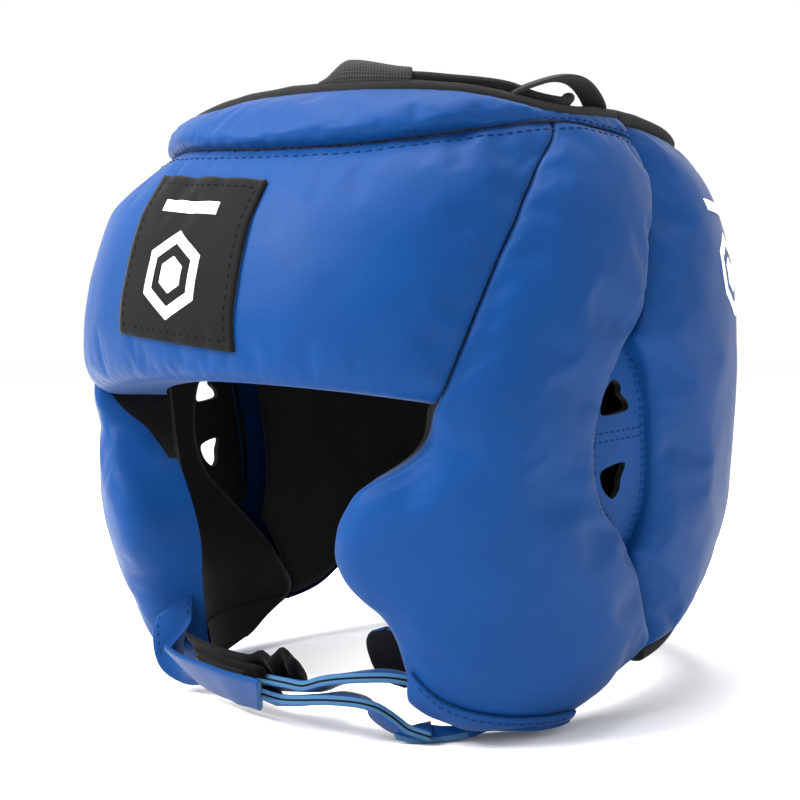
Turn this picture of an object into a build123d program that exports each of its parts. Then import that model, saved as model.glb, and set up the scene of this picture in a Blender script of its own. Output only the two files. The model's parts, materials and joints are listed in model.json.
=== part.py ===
"""Boxing headgear: leather-covered foam pads sewn edge to edge round a head-shaped cavity.

Units are millimetres.  +Z is up, the wearer looks along -Y and the wearer's left is +X.
Every pad is a leather skin, a foam core and a velour liner, built from level sections of
one head-shaped hull.  A place on the hull is an angle round the head (0 at the middle of
the forehead, +90 at the left ear, 180 at the nape) and a level (-1 at the bottom of the
cheeks, 0 at eye height, +1 at the crown rim).
"""
import math
import os

from build123d import *

# ---- driving dimensions --------------------------------------------------------------
HALF_WIDTH = 109.0        # hull, from the middle to the ear side
FRONT_REACH = 113.5       # hull, from the middle to the forehead
REAR_REACH = 132.0        # hull, from the middle to the nape
DROP = 106.0              # eye height down to the bottom of the cheeks
RISE = 105.0              # eye height up to the crown rim
SQUARENESS = 2.35         # exponent of the hull's rounded section, 2 is an ellipse

PAD_DEPTH = 28.0          # leather to liner, in the thick of a pad
LEATHER = 1.0             # cover leather
LINER = 1.6               # velour lining
LAYER_GAP = 0.2           # between the layers of one pad
SEAM_GAP = 1.6            # between the leathers of two neighbouring pads
WING_GAP = 2.4            # between a rear wing and what it swings against
EDGE_ROLL = 0.33          # share of a pad's depth that its face rolls down at a free border
SEAM_ROLL = 0.16          # the same at a border sewn flush to the next pad
EDGE_ROLL_WIDTH = 15.0    # width of the roll

EAR_LEATHER = 1.4
EAR_LINING = 1.2
EAR_RECESS = 11.0         # how deep the ear patch lies below the hull
EAR_HOLE_WIDTH = 13.0
EAR_HOLE_HEIGHT = 12.0

BADGE_WIDTH = 50.0
BADGE_HEIGHT = 52.0
BADGE_THICKNESS = 1.4
BADGE_GAP = 0.3           # between the patch and the forehead leather

BINDING_HEIGHT = 7.0
BINDING_THICKNESS = 3.2

TAB_WIDTH = 24.0          # webbing tunnels on the crown rim
TAB_THICKNESS = 1.3
TAB_RISE = 7.5
LACE_DIAMETER = 3.6
LACE_CLEARANCE = 0.5
LACE_BEND = 5.0
LACE_DIP = 4.5            # how far the lace sinks into the crown opening where it crosses
LACE_INSET = 14.0         # how far behind the rim it crosses

CLOSURE_HEIGHT = 62.0     # rear strap, low edge to high edge
CLOSURE_LEATHER = 3.0
PATCH_THICKNESS = 1.2     # hook patches and loop patches
CLOSURE_GAP = 0.5
CLOSURE_LEVEL = -0.06     # level of the rear strap's middle
CLOSURE_HINGE_ANGLE = 196.0
CLOSURE_TIP_ANGLE = 158.0

CHIN_WIDTH = 26.0
CHIN_LEATHER = 2.2        # chin strap: two leathers back to back
CHIN_COVER = 1.4
CHIN_COVER_LINING = 0.9
CHIN_TONGUE = 1.8
CHIN_GAP = 0.5
BRANCH_WIDTH = 10.5       # each half of the split strap
ANCHOR_THICKNESS = 1.6
ANCHOR_X = 51.0
ANCHOR_Y = -66.0
ANCHOR_Z = -90.0
CHIN_BOW = 10.0           # how far the chin strap stands forward of its anchors
CHIN_TILT = 45.0          # the strap's face looks forward and down by this angle

# ---- the head-shaped hull ------------------------------------------------------------
# level, then share of the half width, the front reach and the rear reach
HULL = [
    (-1.00, 0.80, 0.65, 0.83),
    (-0.85, 0.88, 0.75, 0.89),
    (-0.61, 0.935, 0.855, 0.945),
    (-0.28, 0.98, 0.94, 0.99),
    (0.10, 1.00, 1.00, 1.00),
    (0.38, 0.99, 0.965, 0.99),
    (0.62, 0.945, 0.895, 0.985),
    (0.81, 0.87, 0.80, 0.96),
    (0.92, 0.80, 0.69, 0.90),
    (1.00, 0.725, 0.585, 0.825),
]
DEPTH = [(-1.00, 0.45), (-0.85, 0.75), (-0.6, 1.0), (0.5, 1.0), (0.80, 0.75), (1.00, 0.38)]

# ---- pad borders: level, angle -------------------------------------------------------
DIAGONAL_SEAM = [(0.0, 44.0), (0.23, 49.0), (0.46, 55.0), (0.70, 63.0), (0.84, 70.0), (1.0, 73.0)]
CHEEK_FRONT = [
    (-1.00, 58.0), (-0.93, 47.0), (-0.86, 41.0), (-0.73, 38.5), (-0.60, 34.5), (-0.48, 27.8),
    (-0.41, 27.0), (-0.34, 27.8), (-0.27, 30.0), (-0.19, 35.5), (-0.10, 42.5), (0.0, 44.0),
]
SIDE_REAR = [
    (-1.00, 66.0), (-0.94, 82.0), (-0.86, 92.0), (-0.78, 101.0), (-0.65, 97.0), (-0.50, 91.0),
    (-0.39, 85.0), (-0.30, 79.0), (-0.21, 76.0), (-0.08, 75.0), (0.05, 77.0), (0.19, 82.5),
    (0.30, 88.0), (0.46, 92.5), (0.66, 98.5), (0.78, 101.0), (0.88, 100.0), (1.0, 97.0),
]
EAR_REAR = [(-0.43, 91.0), (-0.30, 93.5), (-0.07, 92.5), (0.12, 89.0), (0.22, 84.0)]
BROW_LEVEL = 0.055
CROWN_SEAM_LEVEL = 0.80
EAR_LOW_LEVEL = -0.43
EAR_HIGH_LEVEL = 0.22
EAR_MIDDLE_ANGLE = 82.2
WING_LOW_LEVEL = -0.80
WING_REAR_ANGLE = 173.0
BADGE_LEVEL = 0.455
LEVELS = [
    -1.0, -0.97, -0.93, -0.86, -0.80, -0.73, -0.65, -0.58, -0.50, -0.43, -0.36, -0.30, -0.24,
    -0.18, -0.10, -0.03, 0.055, 0.12, 0.22, 0.30, 0.38, 0.46, 0.55, 0.64, 0.72, 0.80, 0.86,
    0.92, 0.96, 1.0,
]


def along(table, where, column=1):
    """Smooth value at a place in a table of rows sorted by their first column."""
    rows = [(row[0], row[column]) for row in table]
    if where <= rows[0][0]:
        return rows[0][1]
    if where >= rows[-1][0]:
        return rows[-1][1]
    index = max(i for i in range(len(rows) - 1) if rows[i][0] <= where)
    slopes = []
    for i in (index, index + 1):
        before = rows[max(i - 1, 0)]
        after = rows[min(i + 1, len(rows) - 1)]
        slopes.append((after[1] - before[1]) / (after[0] - before[0]))
    (x0, y0), (x1, y1) = rows[index], rows[index + 1]
    step = x1 - x0
    t = (where - x0) / step
    start = (2 * t**3 - 3 * t**2 + 1) * y0 + (t**3 - 2 * t**2 + t) * step * slopes[0]
    end = (3 * t**2 - 2 * t**3) * y1 + (t**3 - t**2) * step * slopes[1]
    return start + end


def height(level):
    return level * (RISE if level > 0 else DROP)


def hull_radius(angle, level):
    """Distance from the head's axis to the hull."""
    side = math.radians(angle)
    reach = along(HULL, level, 2) * FRONT_REACH
    if math.cos(side) < 0:
        reach = along(HULL, level, 3) * REAR_REACH
    across = abs(math.sin(side)) / (along(HULL, level, 1) * HALF_WIDTH)
    ahead = abs(math.cos(side)) / reach
    return (across**SQUARENESS + ahead**SQUARENESS) ** (-1 / SQUARENESS)


def hull_point(angle, level, depth=0.0):
    """Point on the hull, or depth below it."""
    side = math.radians(angle)
    radius = hull_radius(angle, level) - depth
    return Vector(radius * math.sin(side), -radius * math.cos(side), height(level))


def pad_depth(level):
    return along(DEPTH, level) * PAD_DEPTH


def angle_for(width, level):
    """Angle that spans a width on the ear side of the hull."""
    return math.degrees(width / hull_radius(90, level))


def roll(distance, width=EDGE_ROLL_WIDTH):
    """Share of its full roll that a pad's face has at a distance from its border."""
    share = min(max(distance / width, 0.0), 1.0)
    return 1 - math.sqrt(1 - (1 - share) ** 2)


# ---- solids from level sections ------------------------------------------------------
SPREAD = [0.0, 0.03, 0.09, 0.2, 0.35, 0.5, 0.65, 0.8, 0.91, 0.97, 1.0]


def row(low, high, level, depth):
    """Points along a section from one angle to another; depth may depend on the angle."""
    points = []
    for share in SPREAD:
        angle = low + (high - low) * share
        points.append(hull_point(angle, level, depth(angle) if callable(depth) else depth))
    return points


def closed_wire(*chains):
    """Closed wire through chains of points; long chains are splines, short ones lines."""
    edges = []
    for index, chain in enumerate(chains):
        if len(chain) > 2:
            edges.append(Edge.make_spline(chain))
        else:
            edges.append(Edge.make_line(chain[0], chain[1]))
        following = chains[(index + 1) % len(chains)]
        if (chain[-1] - following[0]).length > 1e-6:
            edges.append(Edge.make_line(chain[-1], following[0]))
    return Wire(edges)


def skin(sections):
    return Solid.make_loft(sections, ruled=True)


def levels_between(low, high):
    inner = [level for level in LEVELS if low + 0.004 < level < high - 0.004]
    return [low] + inner + [high]


class Pad:
    """A pad between two borders, with its leather, its foam and its liner."""

    def __init__(self, low, high, front, rear, rolls):
        self.low = low
        self.high = high
        self.front = front
        self.rear = rear
        self.rolls = rolls

    def face_drop(self, level, from_front, from_rear, width):
        """How far the face has rolled down at a place, given the distances to its borders."""
        rolls = self.rolls
        drops = [
            rolls["front"](level) * roll(from_front, min(EDGE_ROLL_WIDTH, width / 2)),
            rolls["rear"](level) * roll(from_rear, min(EDGE_ROLL_WIDTH, width / 2)),
            rolls["low"] * roll(height(level) - height(self.low)),
            rolls["high"] * roll(height(self.high) - height(level)),
        ]
        return pad_depth(level) * max(drops)

    def wire(self, level, outer, inner, inset):
        front = self.front(level)
        rear = self.rear(level)
        radius = hull_radius((front + rear) / 2, level)
        trim = math.degrees(inset / radius)
        front += trim
        rear -= trim

        def face(angle):
            from_front = math.radians(angle - front) * radius
            from_rear = math.radians(rear - angle) * radius
            return outer + self.face_drop(level, from_front, from_rear, from_front + from_rear)

        return row(front, rear, level, face), row(rear, front, level, inner)

    def leather(self):
        """C-shaped in section: the face and both borders, open towards the head."""
        sections = []
        for level in levels_between(self.low, self.high):
            depth = pad_depth(level) - LINER - 2 * LAYER_GAP
            face, _ = self.wire(level, 0.0, depth, 0.0)
            inside, _ = self.wire(level, LEATHER, depth, LEATHER)
            front = self.wire(level, 0.0, depth, 0.0)[1][-1]
            rear = self.wire(level, 0.0, depth, 0.0)[1][0]
            front_inside = self.wire(level, 0.0, depth, LEATHER)[1][-1]
            rear_inside = self.wire(level, 0.0, depth, LEATHER)[1][0]
            sections.append(closed_wire(
                face, [face[-1], rear], [rear, rear_inside], [rear_inside, inside[-1]],
                inside[::-1], [inside[0], front_inside], [front_inside, front]))
        return skin(sections)

    def foam(self):
        sections = []
        for level in levels_between(self.low, self.high):
            depth = pad_depth(level) - LINER - 2 * LAYER_GAP
            reach = LEATHER + LAYER_GAP
            face, back = self.wire(level, reach, depth, reach)
            sections.append(closed_wire(face, back))
        return skin(sections)

    def liner(self):
        sections = []
        for level in levels_between(self.low, self.high):
            depth = pad_depth(level)
            front = self.front(level)
            rear = self.rear(level)
            face = row(front, rear, level, depth - LINER)
            back = row(rear, front, level, depth)
            sections.append(closed_wire(face, back))
        return skin(sections)

    def nodes(self, name):
        return {
            f"{name}_leather": self.leather(),
            f"{name}_foam": self.foam(),
            f"{name}_liner": self.liner(),
        }


def hull_band(front, rear, low, high, outer, inner):
    """A curved plate on the hull between two angles and two levels."""
    sections = []
    for level in levels_between(low, high):
        sections.append(closed_wire(row(front, rear, level, outer), row(rear, front, level, inner)))
    return skin(sections)


def mirrored(solid):
    return solid.mirror(Plane.YZ)


# ---- pads ----------------------------------------------------------------------------
def seam(table, level, gap):
    return along(table, level) + angle_for(gap, level)


def side_front(level):
    if level < 0:
        return along(CHEEK_FRONT, level)
    return seam(DIAGONAL_SEAM, level, SEAM_GAP / 2)


def side_rear(level):
    return along(SIDE_REAR, level)


def wing_front(level):
    border = side_rear(level)
    if EAR_LOW_LEVEL <= level <= EAR_HIGH_LEVEL:
        border = max(border, along(EAR_REAR, level))
    return border + angle_for(WING_GAP, level)


def forehead_rear(level):
    return seam(DIAGONAL_SEAM, level, -SEAM_GAP / 2)


def forehead_front(level):
    return -forehead_rear(level)


def make_pads():
    crown_low = CROWN_SEAM_LEVEL + SEAM_GAP / RISE
    def free(level):
        return EDGE_ROLL

    def sewn(level):
        return SEAM_ROLL

    def sewn_above_eyes(level):
        return SEAM_ROLL if level > 0 else EDGE_ROLL

    forehead = Pad(BROW_LEVEL, CROWN_SEAM_LEVEL, forehead_front, forehead_rear,
                   {"front": sewn, "rear": sewn, "low": EDGE_ROLL, "high": SEAM_ROLL})
    crown = Pad(crown_low, 1.0, forehead_front, forehead_rear,
                {"front": sewn, "rear": sewn, "low": SEAM_ROLL, "high": EDGE_ROLL})
    side = Pad(-1.0, 1.0, side_front, side_rear,
               {"front": sewn_above_eyes, "rear": free, "low": EDGE_ROLL, "high": EDGE_ROLL})
    wing = Pad(WING_LOW_LEVEL, 1.0, wing_front, lambda level: WING_REAR_ANGLE,
               {"front": free, "rear": free, "low": EDGE_ROLL, "high": EDGE_ROLL})
    nodes = {}
    nodes.update(forehead.nodes("forehead"))
    nodes.update(crown.nodes("crown_band"))
    for name, solid in side.nodes("side").items():
        nodes[f"left_{name}"] = solid
        nodes[f"right_{name}"] = mirrored(solid)
    for name, solid in wing.nodes("rear").items():
        nodes[f"left_{name}"] = solid
        nodes[f"right_{name}"] = mirrored(solid)
    return nodes


# ---- ear patches ---------------------------------------------------------------------
def ear_hole(middle_level, flat_at_top):
    """Half-round hole through the patch, flat on the side that faces the middle bar."""
    centre = hull_point(EAR_MIDDLE_ANGLE, middle_level)
    half = EAR_HOLE_WIDTH / 2
    low = -EAR_HOLE_HEIGHT / 2
    arch = EAR_HOLE_HEIGHT - half
    outline = Plane.YZ * Pos(centre.Y, centre.Z) * make_face(Wire([
        Edge.make_line((-half, low), (half, low)),
        Edge.make_line((half, low), (half, low + arch)),
        Edge.make_three_point_arc((half, low + arch), (0, low + EAR_HOLE_HEIGHT), (-half, low + arch)),
        Edge.make_line((-half, low + arch), (-half, low)),
    ]))
    if flat_at_top:
        outline = outline.rotate(Axis((0, centre.Y, centre.Z), (1, 0, 0)), 180)
    return extrude(outline, amount=2 * HALF_WIDTH, dir=(1, 0, 0))


def make_ears():
    nodes = {}
    holes = ear_hole(0.03, False) + ear_hole(-0.227, True)
    layers = {"patch": (EAR_RECESS, EAR_LEATHER),
              "lining": (EAR_RECESS + EAR_LEATHER + LAYER_GAP, EAR_LINING)}
    for name, (depth, thickness) in layers.items():
        sections = []
        for level in levels_between(EAR_LOW_LEVEL + 0.01, EAR_HIGH_LEVEL - 0.01):
            front = side_rear(level) + angle_for(LAYER_GAP, level)
            rear = max(along(EAR_REAR, level), front + 2)
            sections.append(closed_wire(row(front, rear, level, depth),
                                        row(rear, front, level, depth + thickness)))
        solid = skin(sections) - holes
        nodes[f"left_ear_{name}"] = solid
        nodes[f"right_ear_{name}"] = mirrored(solid)
    return nodes


# ---- trim: badge, bindings -----------------------------------------------------------
def make_trim():
    nodes = {}
    half_level = BADGE_HEIGHT / 2 / RISE
    sections = []
    for level in levels_between(BADGE_LEVEL - half_level, BADGE_LEVEL + half_level):
        half_angle = math.degrees(BADGE_WIDTH / 2 / hull_radius(0, level))
        sections.append(closed_wire(
            row(-half_angle, half_angle, level, -BADGE_THICKNESS - BADGE_GAP),
            row(half_angle, -half_angle, level, -BADGE_GAP)))
    nodes["badge_patch"] = skin(sections)

    rim_low = 1.0 + LAYER_GAP / RISE
    rim_high = rim_low + BINDING_THICKNESS / RISE
    rim_front = side_rear(1.0)
    rim_depth = pad_depth(1.0)
    nodes["front_rim_binding"] = hull_band(-rim_front, rim_front, rim_low, rim_high, 0.5, rim_depth)
    wing = hull_band(wing_front(1.0), WING_REAR_ANGLE, rim_low, rim_high, 0.5, rim_depth)
    nodes["left_rear_rim_binding"] = wing
    nodes["right_rear_rim_binding"] = mirrored(wing)

    low = WING_LOW_LEVEL - LAYER_GAP / DROP
    hem_depth = EDGE_ROLL * pad_depth(WING_LOW_LEVEL) + 1
    hem = hull_band(wing_front(WING_LOW_LEVEL) + 4, WING_REAR_ANGLE, low - BINDING_THICKNESS / DROP, low,
                    hem_depth, hem_depth + BINDING_HEIGHT)
    nodes["left_rear_hem_binding"] = hem
    nodes["right_rear_hem_binding"] = mirrored(hem)

    sections = []
    for level in levels_between(-0.93, -0.80):
        depth = pad_depth(level) + LAYER_GAP
        front = side_front(level) + 2
        rear = side_rear(level) - 2
        sections.append(closed_wire(row(front, rear, level, depth),
                                    row(rear, front, level, depth + BINDING_THICKNESS / 2)))
    cheek = skin(sections)
    nodes["left_cheek_binding"] = cheek
    nodes["right_cheek_binding"] = mirrored(cheek)
    return nodes


# ---- crown tabs and lace -------------------------------------------------------------
TAB_ANGLES = {"front": 32.0, "side": 84.0}


def rim_top():
    return RISE + LAYER_GAP + BINDING_THICKNESS


def tab_centre(angle):
    """Middle of a webbing tunnel, on top of the rim binding."""
    place = hull_point(angle, 1.0, pad_depth(1.0) / 2 + 0.25)
    return Vector(place.X, place.Y, rim_top() + LAYER_GAP)


def rim_direction(angle):
    step = hull_point(angle + 1, 1.0) - hull_point(angle - 1, 1.0)
    return step.normalized()


def make_tab(angle):
    """Arched webbing loop whose tunnel runs along the rim."""
    centre = tab_centre(angle)
    run = rim_direction(angle)
    plane = Plane(origin=centre - run * (TAB_WIDTH / 2), x_dir=Vector(0, 0, 1).cross(run), z_dir=run)
    half = LACE_DIAMETER / 2 + LACE_CLEARANCE + TAB_THICKNESS
    foot = TAB_RISE - half

    def arch(reach, top):
        return make_face(Wire([
            Edge.make_line((-reach, 0), (reach, 0)),
            Edge.make_line((reach, 0), (reach, foot)),
            Edge.make_three_point_arc((reach, foot), (0, top), (-reach, foot)),
            Edge.make_line((-reach, foot), (-reach, 0)),
        ]))

    outside = arch(half, TAB_RISE)
    tunnel = Pos(0, TAB_THICKNESS) * arch(half - TAB_THICKNESS, TAB_RISE - 2 * TAB_THICKNESS + 0.2)
    return extrude(plane * (outside - tunnel), amount=TAB_WIDTH, dir=tuple(run))


def lace_route():
    """Closed loop of points: through the tabs on both sides and across the crown opening."""
    rise = Vector(0, 0, TAB_THICKNESS + LACE_CLEARANCE + LACE_DIAMETER / 2)
    half = []
    for angle in (TAB_ANGLES["front"], TAB_ANGLES["side"]):
        run = rim_direction(angle) * (TAB_WIDTH / 2 + 2.5)
        middle = tab_centre(angle) + rise
        half += [middle - run, middle + run]
    dip = Vector(0, LACE_INSET, -LACE_DIP)
    half = [Vector(half[0].X / 2, half[0].Y, half[0].Z) + dip] + half
    half.append(Vector(half[-1].X / 2, half[-1].Y, half[-1].Z) + dip)
    other = [Vector(-point.X, point.Y, point.Z) for point in half]
    return half + other[::-1]


def make_crown():
    nodes = {}
    for name, angle in TAB_ANGLES.items():
        tab = make_tab(angle)
        nodes[f"left_{name}_rim_tab"] = tab
        nodes[f"right_{name}_rim_tab"] = mirrored(tab)
    route = lace_route()
    path = FilletPolyline(*route, radius=LACE_BEND, close=True)
    start = path @ 0
    nodes["crown_lace"] = sweep(Plane(origin=start, z_dir=path % 0) * Circle(LACE_DIAMETER / 2),
                                path=path, transition=Transition.ROUND)
    back = max(route, key=lambda point: point.Y)
    bore = Rot(0, 90, 0) * Cylinder(LACE_DIAMETER / 2 + 0.05, 4 * LACE_DIAMETER)
    nodes["lace_knot"] = Pos(0, back.Y, back.Z) * (Sphere(LACE_DIAMETER * 1.3) - bore)
    return nodes


# ---- rear closure --------------------------------------------------------------------
def make_closure():
    nodes = {}
    middle = height(CLOSURE_LEVEL)
    low = (middle - CLOSURE_HEIGHT / 2) / DROP
    high = (middle + CLOSURE_HEIGHT / 2) / RISE
    tip = CLOSURE_TIP_ANGLE
    hinge = CLOSURE_HINGE_ANGLE
    inner = -(CLOSURE_GAP + 2 * PATCH_THICKNESS + LAYER_GAP)
    patch_end = WING_REAR_ANGLE - 3
    grip = 0.04
    nodes["closure_strap"] = hull_band(tip, hinge, low, high, inner - LAYER_GAP - CLOSURE_LEATHER,
                                       inner - LAYER_GAP)
    nodes["closure_hook_patch"] = hull_band(tip + 1, patch_end, low + grip, high - grip,
                                            inner, inner + PATCH_THICKNESS)
    nodes["closure_loop_patch"] = hull_band(tip - 14, patch_end, low + grip / 2, high - grip / 2,
                                            -PATCH_THICKNESS - LAYER_GAP, -LAYER_GAP)
    nodes["closure_base"] = hull_band(hinge + 1, hinge + 9, low, high,
                                      inner - LAYER_GAP - CLOSURE_LEATHER, -LAYER_GAP)
    return nodes


# ---- chin strap ----------------------------------------------------------------------
STRAP_START = -0.60       # shares of the way from the middle to an anchor
STRAP_END = 0.88
STRAP_ROOT_END = 0.97
SPLIT_AT = 0.10
MOUTH_AT = 0.08
COVER_START = -0.98
TONGUE_START = -0.86
TONGUE_END = 0.24
BRANCH_SPREAD = 2.0       # how far the two branches open away from each other


def chin_middle(share):
    """Centre line of the chin strap: -1 at the right anchor, +1 at the left one."""
    bow = math.cos(share * math.pi / 2)
    return Vector(share * ANCHOR_X, ANCHOR_Y - CHIN_BOW * bow, ANCHOR_Z - 0.2 * CHIN_BOW * bow)


def chin_frame(share):
    """Directions across the strap's width and out of its outer face."""
    along_strap = (chin_middle(share + 0.01) - chin_middle(share - 0.01)).normalized()
    tilt = math.radians(CHIN_TILT)
    out = Vector(0, -math.cos(tilt), -math.sin(tilt))
    out = (out - along_strap * out.dot(along_strap)).normalized()
    across = along_strap.cross(out).normalized()
    if across.Z < 0:
        across = -across
    return across, out


def strap_section(middle, across, out, low, high, width):
    half = across * (width / 2)
    corners = [middle - half + out * low, middle + half + out * low,
               middle + half + out * high, middle - half + out * high]
    return Wire([Edge.make_line(corners[i], corners[(i + 1) % 4]) for i in range(4)])


def strap(start, end, low, high, width, sideways=None, steps=12):
    """A flat strap on the chin line; low and high are depths out from its centre sheet."""
    sections = []
    for step in range(steps + 1):
        share = start + (end - start) * step / steps
        across, out = chin_frame(share)
        middle = chin_middle(share)
        if sideways:
            middle = middle + across * sideways(share)
        sections.append(strap_section(middle, across, out, low, high, width))
    return skin(sections)


def branch_offset(sign):
    def offset(share):
        progress = min(max((share - SPLIT_AT) / 0.35, 0.0), 1.0)
        ease = progress * progress * (3 - 2 * progress)
        apart = (CHIN_WIDTH - BRANCH_WIDTH) / 2
        return sign * (apart + BRANCH_SPREAD * ease)
    return offset


def cover_depth():
    """Height of the cover's leather above the strap's centre sheet."""
    hook = CHIN_LEATHER / 2 + LAYER_GAP
    return hook + PATCH_THICKNESS + CHIN_GAP + CHIN_COVER_LINING + LAYER_GAP


def make_chin():
    nodes = {}
    face = CHIN_LEATHER / 2
    joint = LAYER_GAP / ANCHOR_X
    full = CHIN_WIDTH + 2 * BRANCH_SPREAD
    nodes["chin_strap_end"] = strap(STRAP_START, SPLIT_AT - joint, -face, face, CHIN_WIDTH)
    for name, sign in {"upper": 1, "lower": -1}.items():
        nodes[f"chin_{name}_branch"] = strap(SPLIT_AT, STRAP_END, -face, face, BRANCH_WIDTH,
                                             branch_offset(sign))
    nodes["chin_strap_root"] = strap(STRAP_END + joint, STRAP_ROOT_END, -face, face, full)
    hook = face + LAYER_GAP
    nodes["chin_hook_patch"] = strap(STRAP_START + 0.05, SPLIT_AT - 0.1, hook, hook + PATCH_THICKNESS,
                                     CHIN_WIDTH - 4)
    cover = cover_depth()
    lining = cover - LAYER_GAP - CHIN_COVER_LINING
    nodes["chin_cover_lining"] = strap(COVER_START + 0.03, MOUTH_AT - 0.02, lining,
                                       lining + CHIN_COVER_LINING, CHIN_WIDTH)
    nodes["chin_cover"] = strap(COVER_START, MOUTH_AT, cover, cover + CHIN_COVER, CHIN_WIDTH + 2)
    tongue = -face - CHIN_GAP - CHIN_TONGUE
    nodes["chin_tongue"] = strap(TONGUE_START, TONGUE_END, tongue, tongue + CHIN_TONGUE, CHIN_WIDTH - 3)
    return nodes


# ---- where the chin strap is sewn to the cheeks --------------------------------------
ANCHOR_LEVEL = -0.79
ANCHOR_WIDTH = 24.0


def on_cheek(angle, level, low, high, width):
    """Section of a strap that lies on the cheek's leather."""
    step = 0.03
    across = (hull_point(angle, level + step) - hull_point(angle, level - step)).normalized()
    run = (hull_point(angle + 1, level) - hull_point(angle - 1, level)).normalized()
    out = across.cross(run).normalized()
    middle = hull_point(angle, level)
    if out.dot(Vector(middle.X, middle.Y, 0)) < 0:
        out = -out
    return strap_section(middle, across, out, low, high, width)


def make_anchors():
    nodes = {}
    low = 1.4
    high = low + ANCHOR_THICKNESS
    across, out = chin_frame(-1.0)
    last = chin_middle(-1.0) + Vector(-2.0, 0, 0)
    sections = [on_cheek(angle, ANCHOR_LEVEL, low, high, ANCHOR_WIDTH) for angle in (-49, -45.5, -42)]
    sections.append(strap_section(last, across, out, cover_depth(), cover_depth() + ANCHOR_THICKNESS,
                                  ANCHOR_WIDTH))
    nodes["right_anchor_patch"] = skin(sections)
    sections = [on_cheek(angle, -0.895, 0.6, 0.6 + ANCHOR_THICKNESS, 8.0) for angle in range(48, 80, 3)]
    nodes["left_anchor_strip"] = skin(sections)
    sections = []
    for level in levels_between(-0.84, -0.68):
        depth = pad_depth(level) + BINDING_THICKNESS / 2 + 2 * LAYER_GAP
        sections.append(closed_wire(row(33, 46, level, depth),
                                    row(46, 33, level, depth + ANCHOR_THICKNESS)))
    nodes["left_anchor_tab"] = skin(sections)
    return nodes


# ---- assembly ------------------------------------------------------------------------
def build():
    nodes = {}
    nodes.update(make_pads())
    nodes.update(make_ears())
    nodes.update(make_trim())
    nodes.update(make_crown())
    nodes.update(make_closure())
    nodes.update(make_chin())
    nodes.update(make_anchors())
    return nodes


def main():
    nodes = build()
    box = Compound(children=[Compound(solid.solids()) for solid in nodes.values()]).bounding_box()
    base = Location((-box.center().X, -box.center().Y, -box.min.Z))
    os.makedirs("parts", exist_ok=True)
    for name, solid in nodes.items():
        export_step(solid.moved(base), f"parts/{name}.step")
    print("origin shift", [round(value, 3) for value in tuple(base.position)])
    print("size", [round(value, 2) for value in tuple(box.size)])


main()
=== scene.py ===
# %% [markdown]
# # A boxing headgear, sewn pad by pad
#
# The imported CAD model gives the sizes, the places and the moving bodies.  This lesson gives
# every piece its looks.  The frame is loaded first.

# %% Load the frame
import json
import math

import bmesh
import bpy
import numpy
from mathutils import Matrix, Vector, kdtree, noise
from mathutils.bvhtree import BVHTree


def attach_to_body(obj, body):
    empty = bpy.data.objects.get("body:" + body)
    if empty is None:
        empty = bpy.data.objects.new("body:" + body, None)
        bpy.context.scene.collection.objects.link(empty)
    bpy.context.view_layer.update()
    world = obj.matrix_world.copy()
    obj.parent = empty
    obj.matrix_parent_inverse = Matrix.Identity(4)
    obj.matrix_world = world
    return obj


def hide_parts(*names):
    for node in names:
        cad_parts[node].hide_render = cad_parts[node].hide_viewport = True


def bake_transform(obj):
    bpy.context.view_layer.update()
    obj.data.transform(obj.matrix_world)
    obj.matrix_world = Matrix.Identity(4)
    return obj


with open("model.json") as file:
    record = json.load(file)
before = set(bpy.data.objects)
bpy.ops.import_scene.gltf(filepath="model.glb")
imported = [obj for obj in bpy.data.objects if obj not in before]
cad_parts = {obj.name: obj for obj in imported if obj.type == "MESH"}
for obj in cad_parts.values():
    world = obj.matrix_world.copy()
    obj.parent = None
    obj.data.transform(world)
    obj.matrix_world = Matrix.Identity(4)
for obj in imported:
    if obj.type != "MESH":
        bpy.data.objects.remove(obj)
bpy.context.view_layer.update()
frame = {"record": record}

MM = 0.001
joints = {joint["name"]: joint for joint in frame["record"]["behaviour"]["joints"]}
wing_hinge = Vector(joints["left_wing_spread"]["pos_m"])
WING_HINGE_FORWARD = 9 * MM      # the hinge behind each ear lies this far ahead of the head's axis
HEAD = Vector((0, wing_hinge.y + WING_HINGE_FORWARD, wing_hinge.z))

# %% [markdown]
# ## The camera and the light
#
# The camera looks at the wearer's left front corner from a little above eye level, from half
# a metre away, so the near cheek is clearly larger than the far one.  The light is a studio's:
# a bright pale room, a large soft lamp ahead and above, and a weaker one from the side.

# %% Camera, lamps and floor
AZIMUTH, ELEVATION, DISTANCE = math.radians(40), math.radians(2), 0.5
back = Vector((math.sin(AZIMUTH) * math.cos(ELEVATION), -math.cos(AZIMUTH) * math.cos(ELEVATION),
               math.sin(ELEVATION)))
right = Vector((math.cos(AZIMUTH), math.sin(AZIMUTH), 0))
camera = bpy.data.objects.new("camera", bpy.data.cameras.new("camera"))
camera.data.lens, camera.data.sensor_width = 59.7, 36.0
camera.data.clip_start, camera.data.clip_end = 0.05, 60
camera.location = HEAD - right * 2 * MM + back * DISTANCE
camera.rotation_euler = (-back).to_track_quat("-Z", "Y").to_euler()
bpy.context.scene.collection.objects.link(camera)
bpy.context.scene.camera = camera


def soft_lamp(name, place, size, watts):
    lamp = bpy.data.objects.new(name, bpy.data.lights.new(name, "AREA"))
    lamp.data.size, lamp.data.energy = size, watts
    lamp.location = HEAD + Vector(place)
    lamp.rotation_euler = (HEAD - lamp.location).to_track_quat("-Z", "Y").to_euler()
    bpy.context.scene.collection.objects.link(lamp)


soft_lamp("key", (-0.60, -1.15, 1.10), 0.8, 60)
soft_lamp("top", (-0.1, -0.1, 1.6), 1.0, 36)
soft_lamp("side", (1.5, 0.45, 0.45), 0.5, 1.5)

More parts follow.
